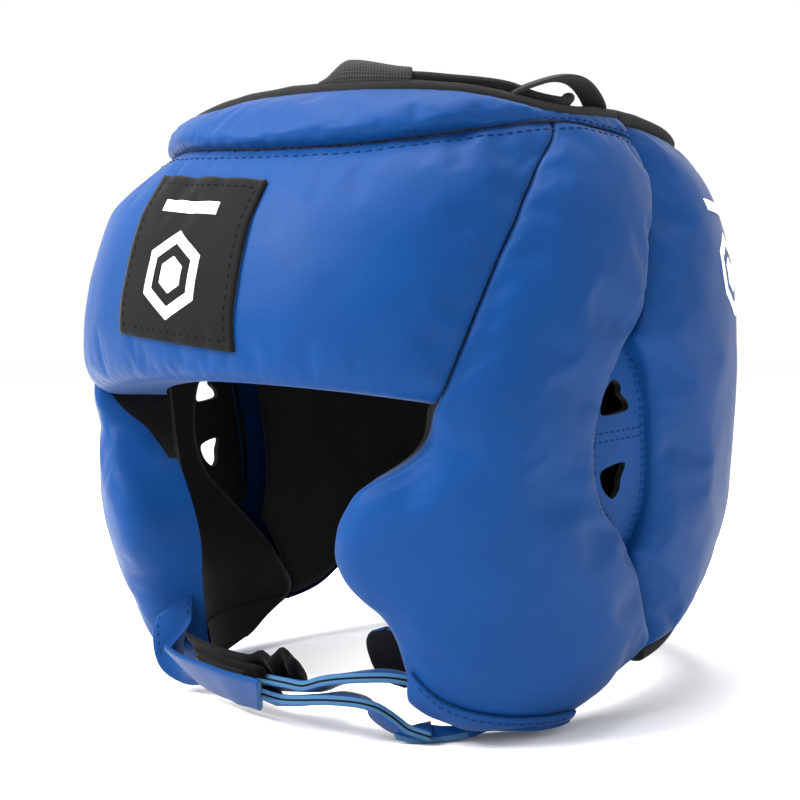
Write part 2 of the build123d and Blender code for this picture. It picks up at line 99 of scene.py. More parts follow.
world = bpy.data.worlds.new("studio")
bpy.context.scene.world = world
world.use_nodes = True
world.node_tree.nodes["Background"].inputs["Color"].default_value = (1, 1, 1, 1)
world.node_tree.nodes["Background"].inputs["Strength"].default_value = 1.0
bpy.context.scene.view_settings.view_transform = "Standard"

bm = bmesh.new()
bmesh.ops.create_grid(bm, x_segments=1, y_segments=1, size=12)
floor_mesh = bpy.data.meshes.new("floor")
bm.to_mesh(floor_mesh)
bm.free()
floor = bpy.data.objects.new("floor", floor_mesh)
bpy.context.scene.collection.objects.link(floor)
floor_paint = bpy.data.materials.new("floor")
floor_paint.use_nodes = True
floor_paint.node_tree.nodes["Principled BSDF"].inputs["Base Color"].default_value = (0.98, 0.98, 0.98, 1)
floor_paint.node_tree.nodes["Principled BSDF"].inputs["Roughness"].default_value = 0.9
floor_mesh.materials.append(floor_paint)

# %% [markdown]
# ## Shared shader effects
#
# Leather grain and cloth weave turn up in several finishes, so each is a node group with
# named inputs.  A group gives out only colours, values and heights; the Principled shader
# stays in each material.

# %% Node group helpers
def new_group(name, inputs, outputs):
    """An empty node group with float inputs {name: default} and (name, type) outputs."""
    group = bpy.data.node_groups.new(name, "ShaderNodeTree")
    for label, value in inputs.items():
        socket = group.interface.new_socket(label, in_out="INPUT", socket_type="NodeSocketFloat")
        socket.default_value = value
    for label in outputs:
        group.interface.new_socket(label, in_out="OUTPUT", socket_type="NodeSocketFloat")
    return group, group.nodes.new("NodeGroupInput"), group.nodes.new("NodeGroupOutput")


def add(tree, kind, links=(), **settings):
    """A node with its settings; links are (own input, output socket or value)."""
    node = tree.nodes.new(kind)
    for name, value in settings.items():
        setattr(node, name, value)
    for socket, source in links:
        if hasattr(source, "is_output"):
            tree.links.new(source, node.inputs[socket])
        else:
            node.inputs[socket].default_value = source
    return node


# %% Leather grain: pebbles between fine creases, and slow cloudy wear
grain, grain_in, grain_out = new_group("leather_grain", {"Scale": 900.0, "Crease": 0.5}, ("Height", "Cloud"))
place_node = add(grain, "ShaderNodeTexCoord").outputs["Object"]
pebbles = add(grain, "ShaderNodeTexVoronoi", [("Vector", place_node), ("Scale", grain_in.outputs["Scale"])],
              feature="DISTANCE_TO_EDGE")
fine = add(grain, "ShaderNodeTexNoise", [("Vector", place_node), ("Scale", 2600.0), ("Detail", 3.0)])
crease = add(grain, "ShaderNodeMath", [(0, pebbles.outputs["Distance"]), (1, grain_in.outputs["Crease"])],
             operation="MULTIPLY")
height = add(grain, "ShaderNodeMath", [(0, crease.outputs[0]), (1, fine.outputs["Fac"])], operation="ADD")
cloud = add(grain, "ShaderNodeTexNoise", [("Vector", place_node), ("Scale", 22.0), ("Detail", 4.0)])
grain.links.new(height.outputs[0], grain_out.inputs["Height"])
grain.links.new(cloud.outputs["Fac"], grain_out.inputs["Cloud"])

# %% Cloth pile and ribs: noise for velour, waves for webbing
pile, pile_in, pile_out = new_group("pile", {"Scale": 1500.0}, ("Height", "Cloud"))
place_node = add(pile, "ShaderNodeTexCoord").outputs["Object"]
fuzz = add(pile, "ShaderNodeTexNoise", [("Vector", place_node), ("Scale", pile_in.outputs["Scale"]),
                                        ("Detail", 6.0)])
brushed = add(pile, "ShaderNodeTexNoise", [("Vector", place_node), ("Scale", 60.0), ("Detail", 5.0)])
pile.links.new(fuzz.outputs["Fac"], pile_out.inputs["Height"])
pile.links.new(brushed.outputs["Fac"], pile_out.inputs["Cloud"])

ribs, ribs_in, ribs_out = new_group("ribs", {"Across": 600.0, "Along": 240.0}, ("Height",))
place_node = add(ribs, "ShaderNodeUVMap").outputs["UV"]
waves = []
for axis, label in (("X", "Across"), ("Y", "Along")):
    waves.append(add(ribs, "ShaderNodeTexWave", [("Vector", place_node), ("Scale", ribs_in.outputs[label]),
                                                 ("Distortion", 0.4)], bands_direction=axis))
woven = add(ribs, "ShaderNodeMath", [(0, waves[0].outputs["Fac"]), (1, waves[1].outputs["Fac"])],
            operation="MULTIPLY")
ribs.links.new(woven.outputs[0], ribs_out.inputs["Height"])


# %% [markdown]
# ## The finishes
#
# The cover is a soft blue leather with a fine grain: broad, quiet highlights and slow, slightly
# paler clouds.  The inside is black velour, which swallows light except at
# grazing angles, so it gets sheen.  Cut strap edges show the pale blue core of the leather.

# %% Materials
def shader(name, color, roughness, **values):
    material = bpy.data.materials.new(name)
    material.use_nodes = True
    bsdf = material.node_tree.nodes["Principled BSDF"]
    bsdf.inputs["Base Color"].default_value = (*color, 1)
    bsdf.inputs["Roughness"].default_value = roughness
    for label, value in values.items():
        bsdf.inputs[label.replace("_", " ")].default_value = value
    return material, material.node_tree, bsdf


def put_group(tree, group, **values):
    node = add(tree, "ShaderNodeGroup", node_tree=group)
    for label, value in values.items():
        node.inputs[label].default_value = value
    return node


def vary(tree, bsdf, fac, dark, light):
    """Base colour between two tones, by a slow mask."""
    mix = add(tree, "ShaderNodeMix", [("Factor", fac)], data_type="RGBA")
    mix.inputs[6].default_value = (*dark, 1)
    mix.inputs[7].default_value = (*light, 1)
    tree.links.new(mix.outputs[2], bsdf.inputs["Base Color"])


def emboss(tree, bsdf, height_socket, strength, distance):
    bump = add(tree, "ShaderNodeBump", [("Height", height_socket), ("Strength", strength),
                                        ("Distance", distance)])
    tree.links.new(bump.outputs["Normal"], bsdf.inputs["Normal"])


def leather(name, dark, light, roughness=0.5, shine=0.08):
    material, tree, bsdf = shader(name, light, roughness, Specular_IOR_Level=shine, Sheen_Weight=0.1,
                                  Sheen_Roughness=0.3)
    detail = put_group(tree, grain, Scale=1100.0, Crease=1.4)
    vary(tree, bsdf, detail.outputs["Cloud"], dark, light)
    emboss(tree, bsdf, detail.outputs["Height"], 0.16, 0.0004)
    rough = add(tree, "ShaderNodeMapRange", [("Value", detail.outputs["Cloud"]), (3, roughness - 0.05),
                                             (4, roughness + 0.07)])
    tree.links.new(rough.outputs[0], bsdf.inputs["Roughness"])
    return material


def cloth(name, dark, light, sheen, scale=1500.0, roughness=0.95):
    material, tree, bsdf = shader(name, light, roughness, Sheen_Weight=sheen, Sheen_Roughness=0.35,
                                  Specular_IOR_Level=0.1)
    detail = put_group(tree, pile, Scale=scale)
    vary(tree, bsdf, detail.outputs["Cloud"], dark, light)
    emboss(tree, bsdf, detail.outputs["Height"], 0.5, 0.0006)
    return material


def webbing(name, color, across, along_way):
    material, tree, bsdf = shader(name, color, 0.75, Sheen_Weight=0.08, Specular_IOR_Level=0.08)
    detail = put_group(tree, ribs, Across=across, Along=along_way)
    emboss(tree, bsdf, detail.outputs["Height"], 0.8, 0.0004)
    # Painted shade: the base colour goes down to 45 % in the low parts of the ribs, following the same heights as
    # the bump.
    rough = add(tree, "ShaderNodeMix", [("Factor", detail.outputs["Height"])], data_type="RGBA")
    rough.inputs[6].default_value = (color[0] * 0.45, color[1] * 0.45, color[2] * 0.45, 1)
    rough.inputs[7].default_value = (*color, 1)
    tree.links.new(rough.outputs[2], bsdf.inputs["Base Color"])
    return material


blue = leather("blue_leather", (0.0010, 0.027, 0.114), (0.0020, 0.040, 0.160))
cut_edge = leather("cut_leather_edge", (0.025, 0.075, 0.15), (0.04, 0.11, 0.21), 0.7)
velour = cloth("black_velour", (0.0015, 0.0016, 0.002), (0.0045, 0.0046, 0.0055), 0.05)
hook_tape = cloth("hook_and_loop_tape", (0.004, 0.004, 0.005), (0.010, 0.010, 0.011), 0.12, 700.0)
binding_tape = webbing("binding_tape", (0.018, 0.0175, 0.0175), 60.0, 420.0)
tunnel_webbing = webbing("tunnel_webbing", (0.034, 0.033, 0.032), 11.0, 9.0)
braid = webbing("lace_braid", (0.008, 0.008, 0.009), 6.0, 160.0)
badge_black = leather("badge_rubber", (0.007, 0.007, 0.007), (0.010, 0.010, 0.010), 0.8, 0.03)
print_white, _, _ = shader("white_print", (0.86, 0.86, 0.86), 0.45)
blue_thread = cloth("blue_thread", (0.002, 0.014, 0.070), (0.004, 0.022, 0.105), 0.02, 4000.0, 0.6)
dark_thread = cloth("dark_thread", (0.002, 0.002, 0.003), (0.004, 0.004, 0.005), 0.02, 4000.0, 0.7)
print(len(bpy.data.materials), "materials")

# %% [markdown]
# ## The head-shaped hull
#
# All pads lie on one rounded shape: at each height its section is a superellipse, a little
# squarer than an ellipse, with a half width, a front reach and a rear reach that change with
# height.  A place on the headgear is then an angle round the head and a height, which is how
# a pattern cutter thinks about it, and the third number is a depth below the surface.

# %% Hull
HALF_WIDTH, FRONT_REACH, REAR_REACH, SQUARENESS = 109.0, 113.5, 132.0, 2.35
DROP, RISE, PAD_DEPTH = 106.0, 105.0, 28.0
HULL_WIDTH = [(-106, 0.80), (-90, 0.88), (-65, 0.935), (-30, 0.98), (10, 1.0), (40, 0.99), (65, 0.945),
              (85, 0.87), (97, 0.80), (105, 0.725)]
HULL_FRONT = [(-106, 0.65), (-90, 0.75), (-65, 0.855), (-30, 0.94), (10, 1.0), (40, 0.965), (65, 0.895),
              (85, 0.80), (97, 0.69), (105, 0.585)]
HULL_REAR = [(-106, 0.83), (-90, 0.89), (-65, 0.945), (-30, 0.99), (10, 1.0), (40, 0.99), (65, 0.985),
             (85, 0.96), (97, 0.90), (105, 0.825)]
THICKNESS = [(-106, 0.45), (-90, 0.75), (-63, 1.0), (52, 1.0), (84, 0.75), (105, 0.38)]


def along(points, where):
    """Smooth value at a place between (place, value) points."""
    if where <= points[0][0]:
        return points[0][1]
    if where >= points[-1][0]:
        return points[-1][1]
    index = max(i for i in range(len(points) - 1) if points[i][0] <= where)
    slope = []
    for i in (index, index + 1):
        before, after = points[max(i - 1, 0)], points[min(i + 1, len(points) - 1)]
        slope.append((after[1] - before[1]) / (after[0] - before[0]))
    (x0, y0), (x1, y1) = points[index], points[index + 1]
    step = x1 - x0
    t = (where - x0) / step
    return ((2 * t**3 - 3 * t**2 + 1) * y0 + (t**3 - 2 * t**2 + t) * step * slope[0]
            + (3 * t**2 - 2 * t**3) * y1 + (t**3 - t**2) * step * slope[1])


def hull_radius(angle, up):
    side = math.radians(angle)
    if math.cos(side) > 0:
        reach = along(HULL_FRONT, up) * FRONT_REACH
    else:
        reach = along(HULL_REAR, up) * REAR_REACH
    across = abs(math.sin(side)) / (along(HULL_WIDTH, up) * HALF_WIDTH)
    ahead = abs(math.cos(side)) / reach
    return (across**SQUARENESS + ahead**SQUARENESS) ** (-1 / SQUARENESS)


def on_hull(angle, up, depth=0.0):
    """Place on the hull in metres; angle in degrees, height and depth in millimetres."""
    side = math.radians(angle)
    radius = hull_radius(angle, up) - depth
    return HEAD + Vector((radius * math.sin(side), -radius * math.cos(side), up)) * MM


def pad_depth(up):
    return along(THICKNESS, up) * PAD_DEPTH


def mix(low, high, share):
    return low + (high - low) * share


def ease(share):
    share = min(max(share, 0.0), 1.0)
    return share * share * (3 - 2 * share)


# %% [markdown]
# ## Seam lines and edges
#
# Each line has only the points that its shape needs: the diagonal seam from the crown to the
# corner of the eye, the free front edge of the cheek, the border behind the cheek that passes
# round the ear, the crown seam, the brow and the rim.

# %% Lines of the pattern: height and angle, or angle and height, in millimetres and degrees
DIAGONAL = [(0, 44.2), (24, 49.2), (48, 55), (73, 63), (88, 70.5), (105, 73)]
CHEEK_FRONT = [(-104, 60), (-101, 52), (-97, 46.6), (-91, 41), (-86, 40.3), (-77, 38.8), (-69, 37.2),
               (-63, 34.7), (-57, 30.6), (-50, 27.8), (-44, 27), (-36, 27.7), (-28.6, 29.8), (-23, 32.3),
               (-19, 36.5), (-14, 41), (-8, 43.6), (0, 44.2)]
CHEEK_REAR = [(-104, 62), (-101, 72), (-98, 83), (-91, 92), (-83, 101.5), (-69, 97.3), (-52, 91), (-41, 85.2),
              (-32, 79), (-22, 76), (-9, 75.3), (4.6, 77), (20, 82.5), (31.5, 88.4), (48, 92.4),
              (69, 98.9), (81.5, 101.6), (92, 99.7), (105, 97)]
EAR_REAR = [(-46, 91), (-31, 93.5), (-7.5, 92.3), (12, 89.3), (23, 84)]
CROWN_SEAM = [(-98, 90.5), (-85, 91), (-71, 90.5), (-50, 88.5), (-21, 87), (-8, 84.9), (8, 82.6), (26, 81.6),
              (39, 83), (53, 86.6), (71, 91.3), (85, 91.5), (98, 90.5)]
RIM = [(-180, 97), (-137, 97), (-110, 98), (-95, 97.3), (-73, 95), (-53, 99.5), (-31, 103), (0, 104),
       (31, 102), (53, 99.5), (73, 94.6), (95, 97.2), (110, 98), (137, 97), (180, 97)]
HEM = [(80, -88), (101, -86), (113, -82), (123, -72), (133, -62.5), (146, -58), (173, -56.5)]
WING_REAR = 173.0
EAR_LOW, EAR_HIGH = -46.0, 23.0


def brow(angle):
    return 8.6 - 6.3 * (abs(angle) / 44) ** 2


def cheek_front(up):
    return along(CHEEK_FRONT, up) if up < 0 else along(DIAGONAL, up)


def cheek_rear(up):
    return along(CHEEK_REAR, up)


def wing_front(up):
    border = cheek_rear(up)
    if EAR_LOW < up < EAR_HIGH:
        border = max(border, along(EAR_REAR, up))
    return border


# %% [markdown]
# ## How a pad is sewn
#
# A pad starts as a flat grid, the cut leather.  Each grid point is laid on the hull, and its
# distance to every border says how far the seam pulls it in: steeply in the last few
# millimetres, gently over the next few centimetres.  Short puckers run in from each seam.
# Then the border is extruded inwards for the pad's side wall, and a short cloth simulation with
# air pressure swells the face.  No point may move further than a cap, so most of the form
# comes from the seams and the hull.

# %% Pad tools
def new_piece(name, bm, *materials):
    """A smooth-shaded object from a bmesh."""
    mesh = bpy.data.meshes.new(name)
    bm.to_mesh(mesh)
    bm.free()
    for material in materials:
        mesh.materials.append(material)
    mesh.polygons.foreach_set("use_smooth", [True] * len(mesh.polygons))
    piece = bpy.data.objects.new(name, mesh)
    bpy.context.scene.collection.objects.link(piece)
    return piece


def mapped_grid(columns, rows, place):
    """A bmesh grid whose points go where place(u, v) says, with u and v from 0 to 1."""
    bm = bmesh.new()
    bmesh.ops.create_grid(bm, x_segments=columns, y_segments=rows, size=0.5, calc_uvs=True)
    layer = bm.loops.layers.uv.verify()
    for face in bm.faces:
        for loop in face.loops:
            loop[layer].uv = (loop.vert.co.x + 0.5, loop.vert.co.y + 0.5)
    shares = {vert: (vert.co.x + 0.5, vert.co.y + 0.5) for vert in bm.verts}
    for vert, (u, v) in shares.items():
        vert.co = place(u, v)
    return bm, shares


def face_outwards(bm):
    """Turns the whole sheet over if most of it looks at the head's axis."""
    bm.normal_update()
    middle = HEAD + Vector((0, 0.009, 0))
    facing = sum(face.normal.dot(face.calc_center_median() - middle) * face.calc_area() for face in bm.faces)
    if facing < 0:
        bmesh.ops.reverse_faces(bm, faces=bm.faces)


def attach(piece, body):
    """A piece rides on its body; a piece meant for a wing is only baked in place."""
    if not body.endswith("rear_wing"):
        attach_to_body(piece, body)
        return
    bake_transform(piece)


def finish_with(piece, levels=1):
    modifier = piece.modifiers.new("smooth", "SUBSURF")
    modifier.levels = modifier.render_levels = levels


def quarter(distance, width):
    share = min(max(distance / width, 0.0), 1.0)
    return 1 - math.sqrt(max(1 - (1 - share) ** 2, 0.0))


class Seams:
    """Distance from any place on a pad to its four borders, and how far each pulls the face in."""

    def __init__(self, place, pulls, samples=500):
        self.pulls = pulls
        self.trees = {}
        lines = {"front": lambda s: place(0, s), "rear": lambda s: place(1, s),
                 "low": lambda s: place(s, 0), "high": lambda s: place(s, 1)}
        for side, line in lines.items():
            tree = kdtree.KDTree(samples + 1)
            for index in range(samples + 1):
                tree.insert(on_hull(*line(index / samples)), index)
            tree.balance()
            self.trees[side] = tree

    def drop(self, angle, up):
        """Depth of the face below the hull: seams pull it in, and the leather is never quite even."""
        spot = on_hull(angle, up)
        drops = []
        for side, (edge, width, pull, pucker) in self.pulls(angle, up).items():
            _, index, distance = self.trees[side].find(spot)
            distance /= MM
            depth = edge * quarter(distance, width) + pull * (1 - ease(distance / 32))
            fade = math.exp(-distance / 7) * min(distance / 2, 1)
            wrinkle = noise.noise(Vector((index * 0.16, len(side), distance * 0.03)))
            drops.append(depth + pucker * fade * wrinkle)
        drops.sort()
        rest = sum(drops[:-1]) * 0.12
        lean = 6.5 * ease((-angle - 10) / 30) * ease((up - 68) / 18) * (1 - ease((up - 90) / 13))
        uneven = lean + 0.7 * noise.noise(spot * 28) + 0.35 * noise.noise(spot * 75)
        return drops[-1] + rest + uneven


def inflate(piece, face_verts, cap):
    """Cloth simulation: air pressure fills the leather while its walls stay put."""
    group = piece.vertex_groups.new(name="sewn")
    pinned = [v.index for v in piece.data.vertices if v.index not in face_verts]
    group.add(pinned, 1.0, "REPLACE")
    start = [v.co.copy() for v in piece.data.vertices]
    cloth_modifier = piece.modifiers.new("inflate", "CLOTH")
    settings = cloth_modifier.settings
    settings.quality = 5
    settings.mass = 0.25
    settings.tension_stiffness = settings.compression_stiffness = 12
    settings.bending_stiffness = 1.2
    settings.vertex_group_mass = "sewn"
    settings.use_pressure = True
    settings.uniform_pressure_force = 2.5
    settings.shrink_min = -0.015
    settings.effector_weights.gravity = 0
    cloth_modifier.point_cache.frame_start, cloth_modifier.point_cache.frame_end = 1, 20
    for step in range(1, 21):
        bpy.context.scene.frame_set(step)
    graph = bpy.context.evaluated_depsgraph_get()
    moved = [v.co.copy() for v in piece.evaluated_get(graph).data.vertices]
    piece.modifiers.remove(cloth_modifier)
    piece.vertex_groups.remove(group)
    bpy.context.scene.frame_set(1)
    most = 0.0
    for vert, was, now in zip(piece.data.vertices, start, moved):
        shift = now - was
        if shift.length > cap:
            shift = shift * (cap / shift.length)
        most = max(most, shift.length)
        vert.co = was + shift
    print(f"  {piece.name}: inflated by up to {most / MM:.1f} mm")


def sew_pad(name, place, pulls, size, wall, nodes, body, cap=0.0022, swell=None, lined=None):
    """Leather cover of one pad; wall(u, v) gives how deep its side wall reaches at a border."""
    columns, rows = size
    seams = Seams(place, pulls)
    depths = {}

    def lay(u, v):
        angle, up = place(u, v)
        depth = seams.drop(angle, up) - (swell(angle, v) if swell else 0.0)
        depths[(round(u, 5), round(v, 5))] = depth
        return on_hull(angle, up, depth)

    bm, shares = mapped_grid(columns, rows, lay)
    border = [edge for edge in bm.edges if edge.is_boundary]
    rim_shares = {vert: shares[vert] for edge in border for vert in edge.verts}
    face_count = len(bm.verts)
    loop_shares = rim_shares
    for ring in range(4):
        before = [edge for edge in bm.edges if edge.is_boundary]
        made = bmesh.ops.extrude_edge_only(bm, edges=before)["geom"]
        new_verts = [item for item in made if isinstance(item, bmesh.types.BMVert)]
        tree = {tuple(vert.co): share for vert, share in loop_shares.items()}
        next_shares = {}
        for vert in new_verts:
            u, v = tree[tuple(vert.co)]
            angle, up = place(u, v)
            leather_share = lined(angle, up) if lined else 0.94
            step = (leather_share / 2, leather_share, (1 + leather_share) / 2, 1.0)[ring]
            depth = depths[(round(u, 5), round(v, 5))]
            reach = max(wall(angle, up, u, v), depth + 1.0)
            tuck = 0.006 * math.sin(step * math.pi)
            inner_angle, inner_up = place(mix(u, 0.5, tuck), mix(v, 0.5, tuck))
            vert.co = on_hull(inner_angle, inner_up, mix(depth, reach, step))
            next_shares[vert] = (u, v)
        loop_shares = next_shares
        if lined and ring > 1:
            for face in {face for vert in new_verts for face in vert.link_faces}:
                shares_here = [next_shares[vert] for vert in face.verts if vert in next_shares]
                if max(lined(*place(*share)) for share in shares_here) < 0.93:
                    face.material_index = 1
    face_outwards(bm)
    bm.verts.index_update()
    interior = {index for index, vert in enumerate(bm.verts) if index < face_count and vert not in rim_shares}
    piece = new_piece(name, bm, blue, velour)
    inflate(piece, interior, cap)
    finish_with(piece)
    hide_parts(*nodes)
    attach(piece, body)
    print(f"{name}: {len(piece.data.polygons)} faces")
    return piece


def line_pad(name, place, size, node, body, puff=1.5, thinner=None):
    """Velour lining of one pad: a softly quilted sheet on the head's side."""
    def lay(u, v):
        angle, up = place(mix(0.004, 0.996, u), mix(0.01, 0.99, v))
        swell = puff * (1 - (2 * u - 1) ** 4) * (1 - (2 * v - 1) ** 4)
        uneven = 0.5 * noise.noise(Vector((angle * 0.09, up * 0.05, 3.0)))
        less = thinner(angle, up) if thinner else 0.0
        return on_hull(angle, up, pad_depth(up) - 1.2 - less + swell + uneven)

    bm, _ = mapped_grid(*size, lay)
    face_outwards(bm)
    bmesh.ops.reverse_faces(bm, faces=bm.faces)
    piece = new_piece(name, bm, velour)
    solid = piece.modifiers.new("thickness", "SOLIDIFY")
    solid.thickness = 1.2 * MM
    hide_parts(node)
    attach(piece, body)
    return piece


# %% [markdown]
# ## Forehead pad and crown band
#
# The forehead pad is the widest piece: flush diagonal seams at its sides, a double-stitched
# seam above and a free, rolled edge over the brow.  The crown band is the thin puffy roll
# between that seam and the bound rim.

# %% Forehead
def forehead_place(u, v):
    up = mix(5, 84, v)
    for _ in range(4):
        angle = mix(-along(DIAGONAL, up), along(DIAGONAL, up), u)
        up = mix(brow(angle), along(CROWN_SEAM, angle), v)
    return angle, up


def crown_front(angle):
    """1 in front, where the crown band is fullest, and 0 past the temples."""
    return 1 - ease((abs(angle) - 45) / 28)


def forehead_pulls(angle, up):
    return {"front": (1.9, 4.5, 1.3, 0.25), "rear": (1.9, 4.5, 1.3, 0.25),
            "low": (7.0, 9.0, 1.6, 0.7),
            "high": (mix(2.3, 4.0, crown_front(angle)), 8.0, mix(1.6, 2.2, crown_front(angle)), 0.8)}


def forehead_wall(angle, up, u, v):
    return pad_depth(up) - 1.0 if v < 0.01 else 9.0


sew_pad("forehead_cover", forehead_place, forehead_pulls, (110, 42), forehead_wall,
        ("forehead_leather", "forehead_foam"), "shell")
line_pad("forehead_lining", forehead_place, (40, 16), "forehead_liner", "shell")


# %% Crown band
def crown_place(u, v):
    angle = mix(-97.5, 97.5, u)
    return angle, mix(along(CROWN_SEAM, angle), along(RIM, angle), v)


def crown_pulls(angle, up):
    thin = 1 - 0.5 * ease((abs(angle) - 40) / 35)
    return {"front": (1.5, 4.0, 0.5, 0.2), "rear": (1.5, 4.0, 0.5, 0.2),
            "low": (mix(1.6, 4.4, crown_front(angle)), 7.0, mix(0.6, 1.6, crown_front(angle)), 1.0),
            "high": (3.2 * thin, 7.0, 0.8 * thin, 0.9)}


def crown_wall(angle, up, u, v):
    return 8.0


def crown_swell(angle, v):
    """The band stands proud of the seam in front and flattens towards the temples."""
    return crown_front(angle) * 4.6 * math.sin(math.pi * min(v * 0.92 + 0.04, 1.0)) ** 0.8


sew_pad("crown_band_cover", crown_place, crown_pulls, (150, 14), crown_wall,
        ("crown_band_leather", "crown_band_foam"), "shell", cap=0.0012, swell=crown_swell)
line_pad("crown_band_lining", crown_place, (60, 6), "crown_band_liner", "shell", 0.6)

# %% [markdown]
# ## Cheek pads
#
# One long pad runs from the crown past the temple down to the jaw on each side.  Its front is
# sewn flush to the forehead above the eye and free below it; behind, it rolls over softly
# beside the ear.  The right one is the left one's place function with the angle's sign turned.

# %% Cheeks
def cheek_place(u, v):
    up = mix(-103.5, 91, v)
    for _ in range(4):
        angle = mix(cheek_front(up), cheek_rear(up), u)
        up = mix(-103.5, along(CROWN_SEAM, angle), v)
    return angle, up


def cheek_pulls(angle, up):
    free = 1 - ease((up + 12) / 14)
    ear = ease((up + 100) / 30)
    return {"front": (mix(1.9, 7.5, free), mix(4.5, 10.0, free), mix(1.3, 1.8, free), mix(0.25, 0.35, free)),
            "rear": (mix(4.0, 6.5, ear), 9.0, 2.6, 0.7), "low": (4.0, 8.0, 0.8, 0.4),
            "high": (2.2, 5.0, 1.0, 0.6)}


def cheek_wall(angle, up, u, v):
    if u < 0.01 and up < 4 or v < 0.01:
        return pad_depth(up) - 1.0
    return 13.0


def beside_ear(angle, up):
    """The pad thins out towards the ear at ear height."""
    level = ease((up + 75) / 35) * (1 - ease((up - 20) / 40))
    return 12.5 * level * ease((abs(angle) - 46) / 20)


def lined_corner(angle, up):
    """Leather's share of the wall: round the corner of the eye the velour wraps outwards over it."""
    return 0.16 + 0.78 * ease((3 - up) / 25) if up < 6 and 26 < abs(angle) < 50 else 0.94


def other_side(place):
    def mirrored(u, v):
        angle, up = place(1 - u, v)
        return -angle, up
    return mirrored


def other_pulls(pulls):
    def mirrored(angle, up):
        here = pulls(-angle, up)
        return {"front": here["rear"], "rear": here["front"], "low": here["low"], "high": here["high"]}
    return mirrored


def other_wall(wall):
    return lambda angle, up, u, v: wall(-angle, up, 1 - u, v)


for side in ("left", "right"):
    turn = side == "right"
    place = other_side(cheek_place) if turn else cheek_place
    pulls = other_pulls(cheek_pulls) if turn else cheek_pulls
    wall = other_wall(cheek_wall) if turn else cheek_wall
    sew_pad(f"{side}_cheek_cover", place, pulls, (44, 96), wall,
            (f"{side}_side_leather", f"{side}_side_foam"), "shell", lined=lined_corner)
    line_pad(f"{side}_cheek_lining", place, (24, 60), f"{side}_side_liner", "shell", thinner=beside_ear)


# %% [markdown]
# ## Rear wings
#
# Behind the ears the pads can swing outwards when the rear closure is undone.  The wing covers
# are baked in place; they are not attached to the wing's body.

# %% Wings
def wing_place(u, v):
    up = mix(-85, 97, v)
    for _ in range(5):
        angle = mix(wing_front(up), WING_REAR, u)
        up = mix(along(HEM, angle), along(RIM, angle), v)
    return angle, up


def wing_pulls(angle, up):
    beside_ear = ease((up + 60) / 14) * (1 - ease((up - 26) / 14))
    return {"front": (mix(6.0, 4.0, beside_ear), 11.0, mix(3.0, 2.0, beside_ear), 0.8),
            "rear": (3.6, 8.0, 1.2, 0.5), "low": (6.0, 10.0, 2.0, 0.8), "high": (4.0, 9.0, 2.0, 0.9)}


def wing_wall(angle, up, u, v):
    return pad_depth(up) - 1.0 if u > 0.99 or v < 0.01 else 12.0


for side in ("left", "right"):
    turn = side == "right"
    place = other_side(wing_place) if turn else wing_place
    pulls = other_pulls(wing_pulls) if turn else wing_pulls
    wall = other_wall(wing_wall) if turn else wing_wall
    body = f"{side}_rear_wing"
    sew_pad(f"{side}_rear_cover", place, pulls, (70, 84), wall,
            (f"{side}_rear_leather", f"{side}_rear_foam"), body)
    line_pad(f"{side}_rear_lining", place, (30, 40), f"{side}_rear_liner", body)


# %% [markdown]
# ## Straps, tapes and laces
#
# Everything long and narrow is lofted: a ring of points is repeated along a path, the seam is
# welded and the ends are closed.  A strap's ring is a flat rounded bar, a tape folded over an
# edge is a fatter one, and a lace is nearly round.

# %% Loft tools
def loft(name, rings, materials, closed=False, edge_faces=None, cap=0):
    """Solid through rings of points; edge_faces maps a place in the ring to a material index."""
    around, rows = len(rings[0]), len(rings) - (0 if closed else 1)
    bm, _ = mapped_grid(around, rows,
                        lambda u, v: rings[round(v * rows) % len(rings)][round(u * around) % around])
    if edge_faces:
        layer = bm.loops.layers.uv.verify()
        for face in bm.faces:
            middle = sum(loop[layer].uv.x for loop in face.loops) / len(face.loops)
            face.material_index = edge_faces.get(int(middle * around), 0)
    bmesh.ops.remove_doubles(bm, verts=bm.verts, dist=1e-6)
    if not closed:
        for face in bmesh.ops.holes_fill(bm, edges=[edge for edge in bm.edges if edge.is_boundary])["faces"]:
            face.material_index = cap
    bmesh.ops.recalc_face_normals(bm, faces=bm.faces)
    return new_piece(name, bm, *materials)


def bar_ring(middle, across, out, width, thick, power=4.0, points=16):
    """Rounded flat section round a middle point, sizes in millimetres."""
    ring = []
    for index in range(points):
        turn = 2 * math.pi * (index + 0.5) / points
        c, s = math.cos(turn), math.sin(turn)
        a = math.copysign(abs(c) ** (2 / power), c) * width / 2
        b = math.copysign(abs(s) ** (2 / power), s) * thick / 2
        ring.append(middle + (across * a + out * b) * MM)
    return ring


def smooth_keys(keys, steps):
    """Values between key rows (place, numbers...), eased through all of them."""
    columns = list(zip(*keys))
    rows = []
    for step in range(steps + 1):
        where = mix(columns[0][0], columns[0][-1], step / steps)
        rows.append([along(list(zip(columns[0], column)), where) for column in columns[1:]])
    return rows


def hull_frame(angle, up, depth=0.0):
    """Middle, upward and outward directions at a place on the hull."""
    middle = on_hull(angle, up, depth)
    rise = (on_hull(angle, up + 2) - on_hull(angle, up - 2)).normalized()
    run = (on_hull(angle + 1, up) - on_hull(angle - 1, up)).normalized()
    out = rise.cross(run).normalized()
    if out.dot(middle - HEAD) < 0:
        out = -out
    return middle, rise, out, run


def set_piece(piece, body, slot, *nodes):
    if nodes:
        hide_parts(*nodes)
    attach(piece, body)
    return piece


def surface_of(*names):
    """Search tree over the finished outer faces of some covers."""
    graph = bpy.context.evaluated_depsgraph_get()
    verts, faces = [], []
    for name in names:
        source = bpy.data.objects[name].evaluated_get(graph).to_mesh()
        start = len(verts)
        verts += [vert.co.copy() for vert in source.vertices]
        faces += [[start + index for index in face.vertices] for face in source.polygons]
    return BVHTree.FromPolygons(verts, faces)


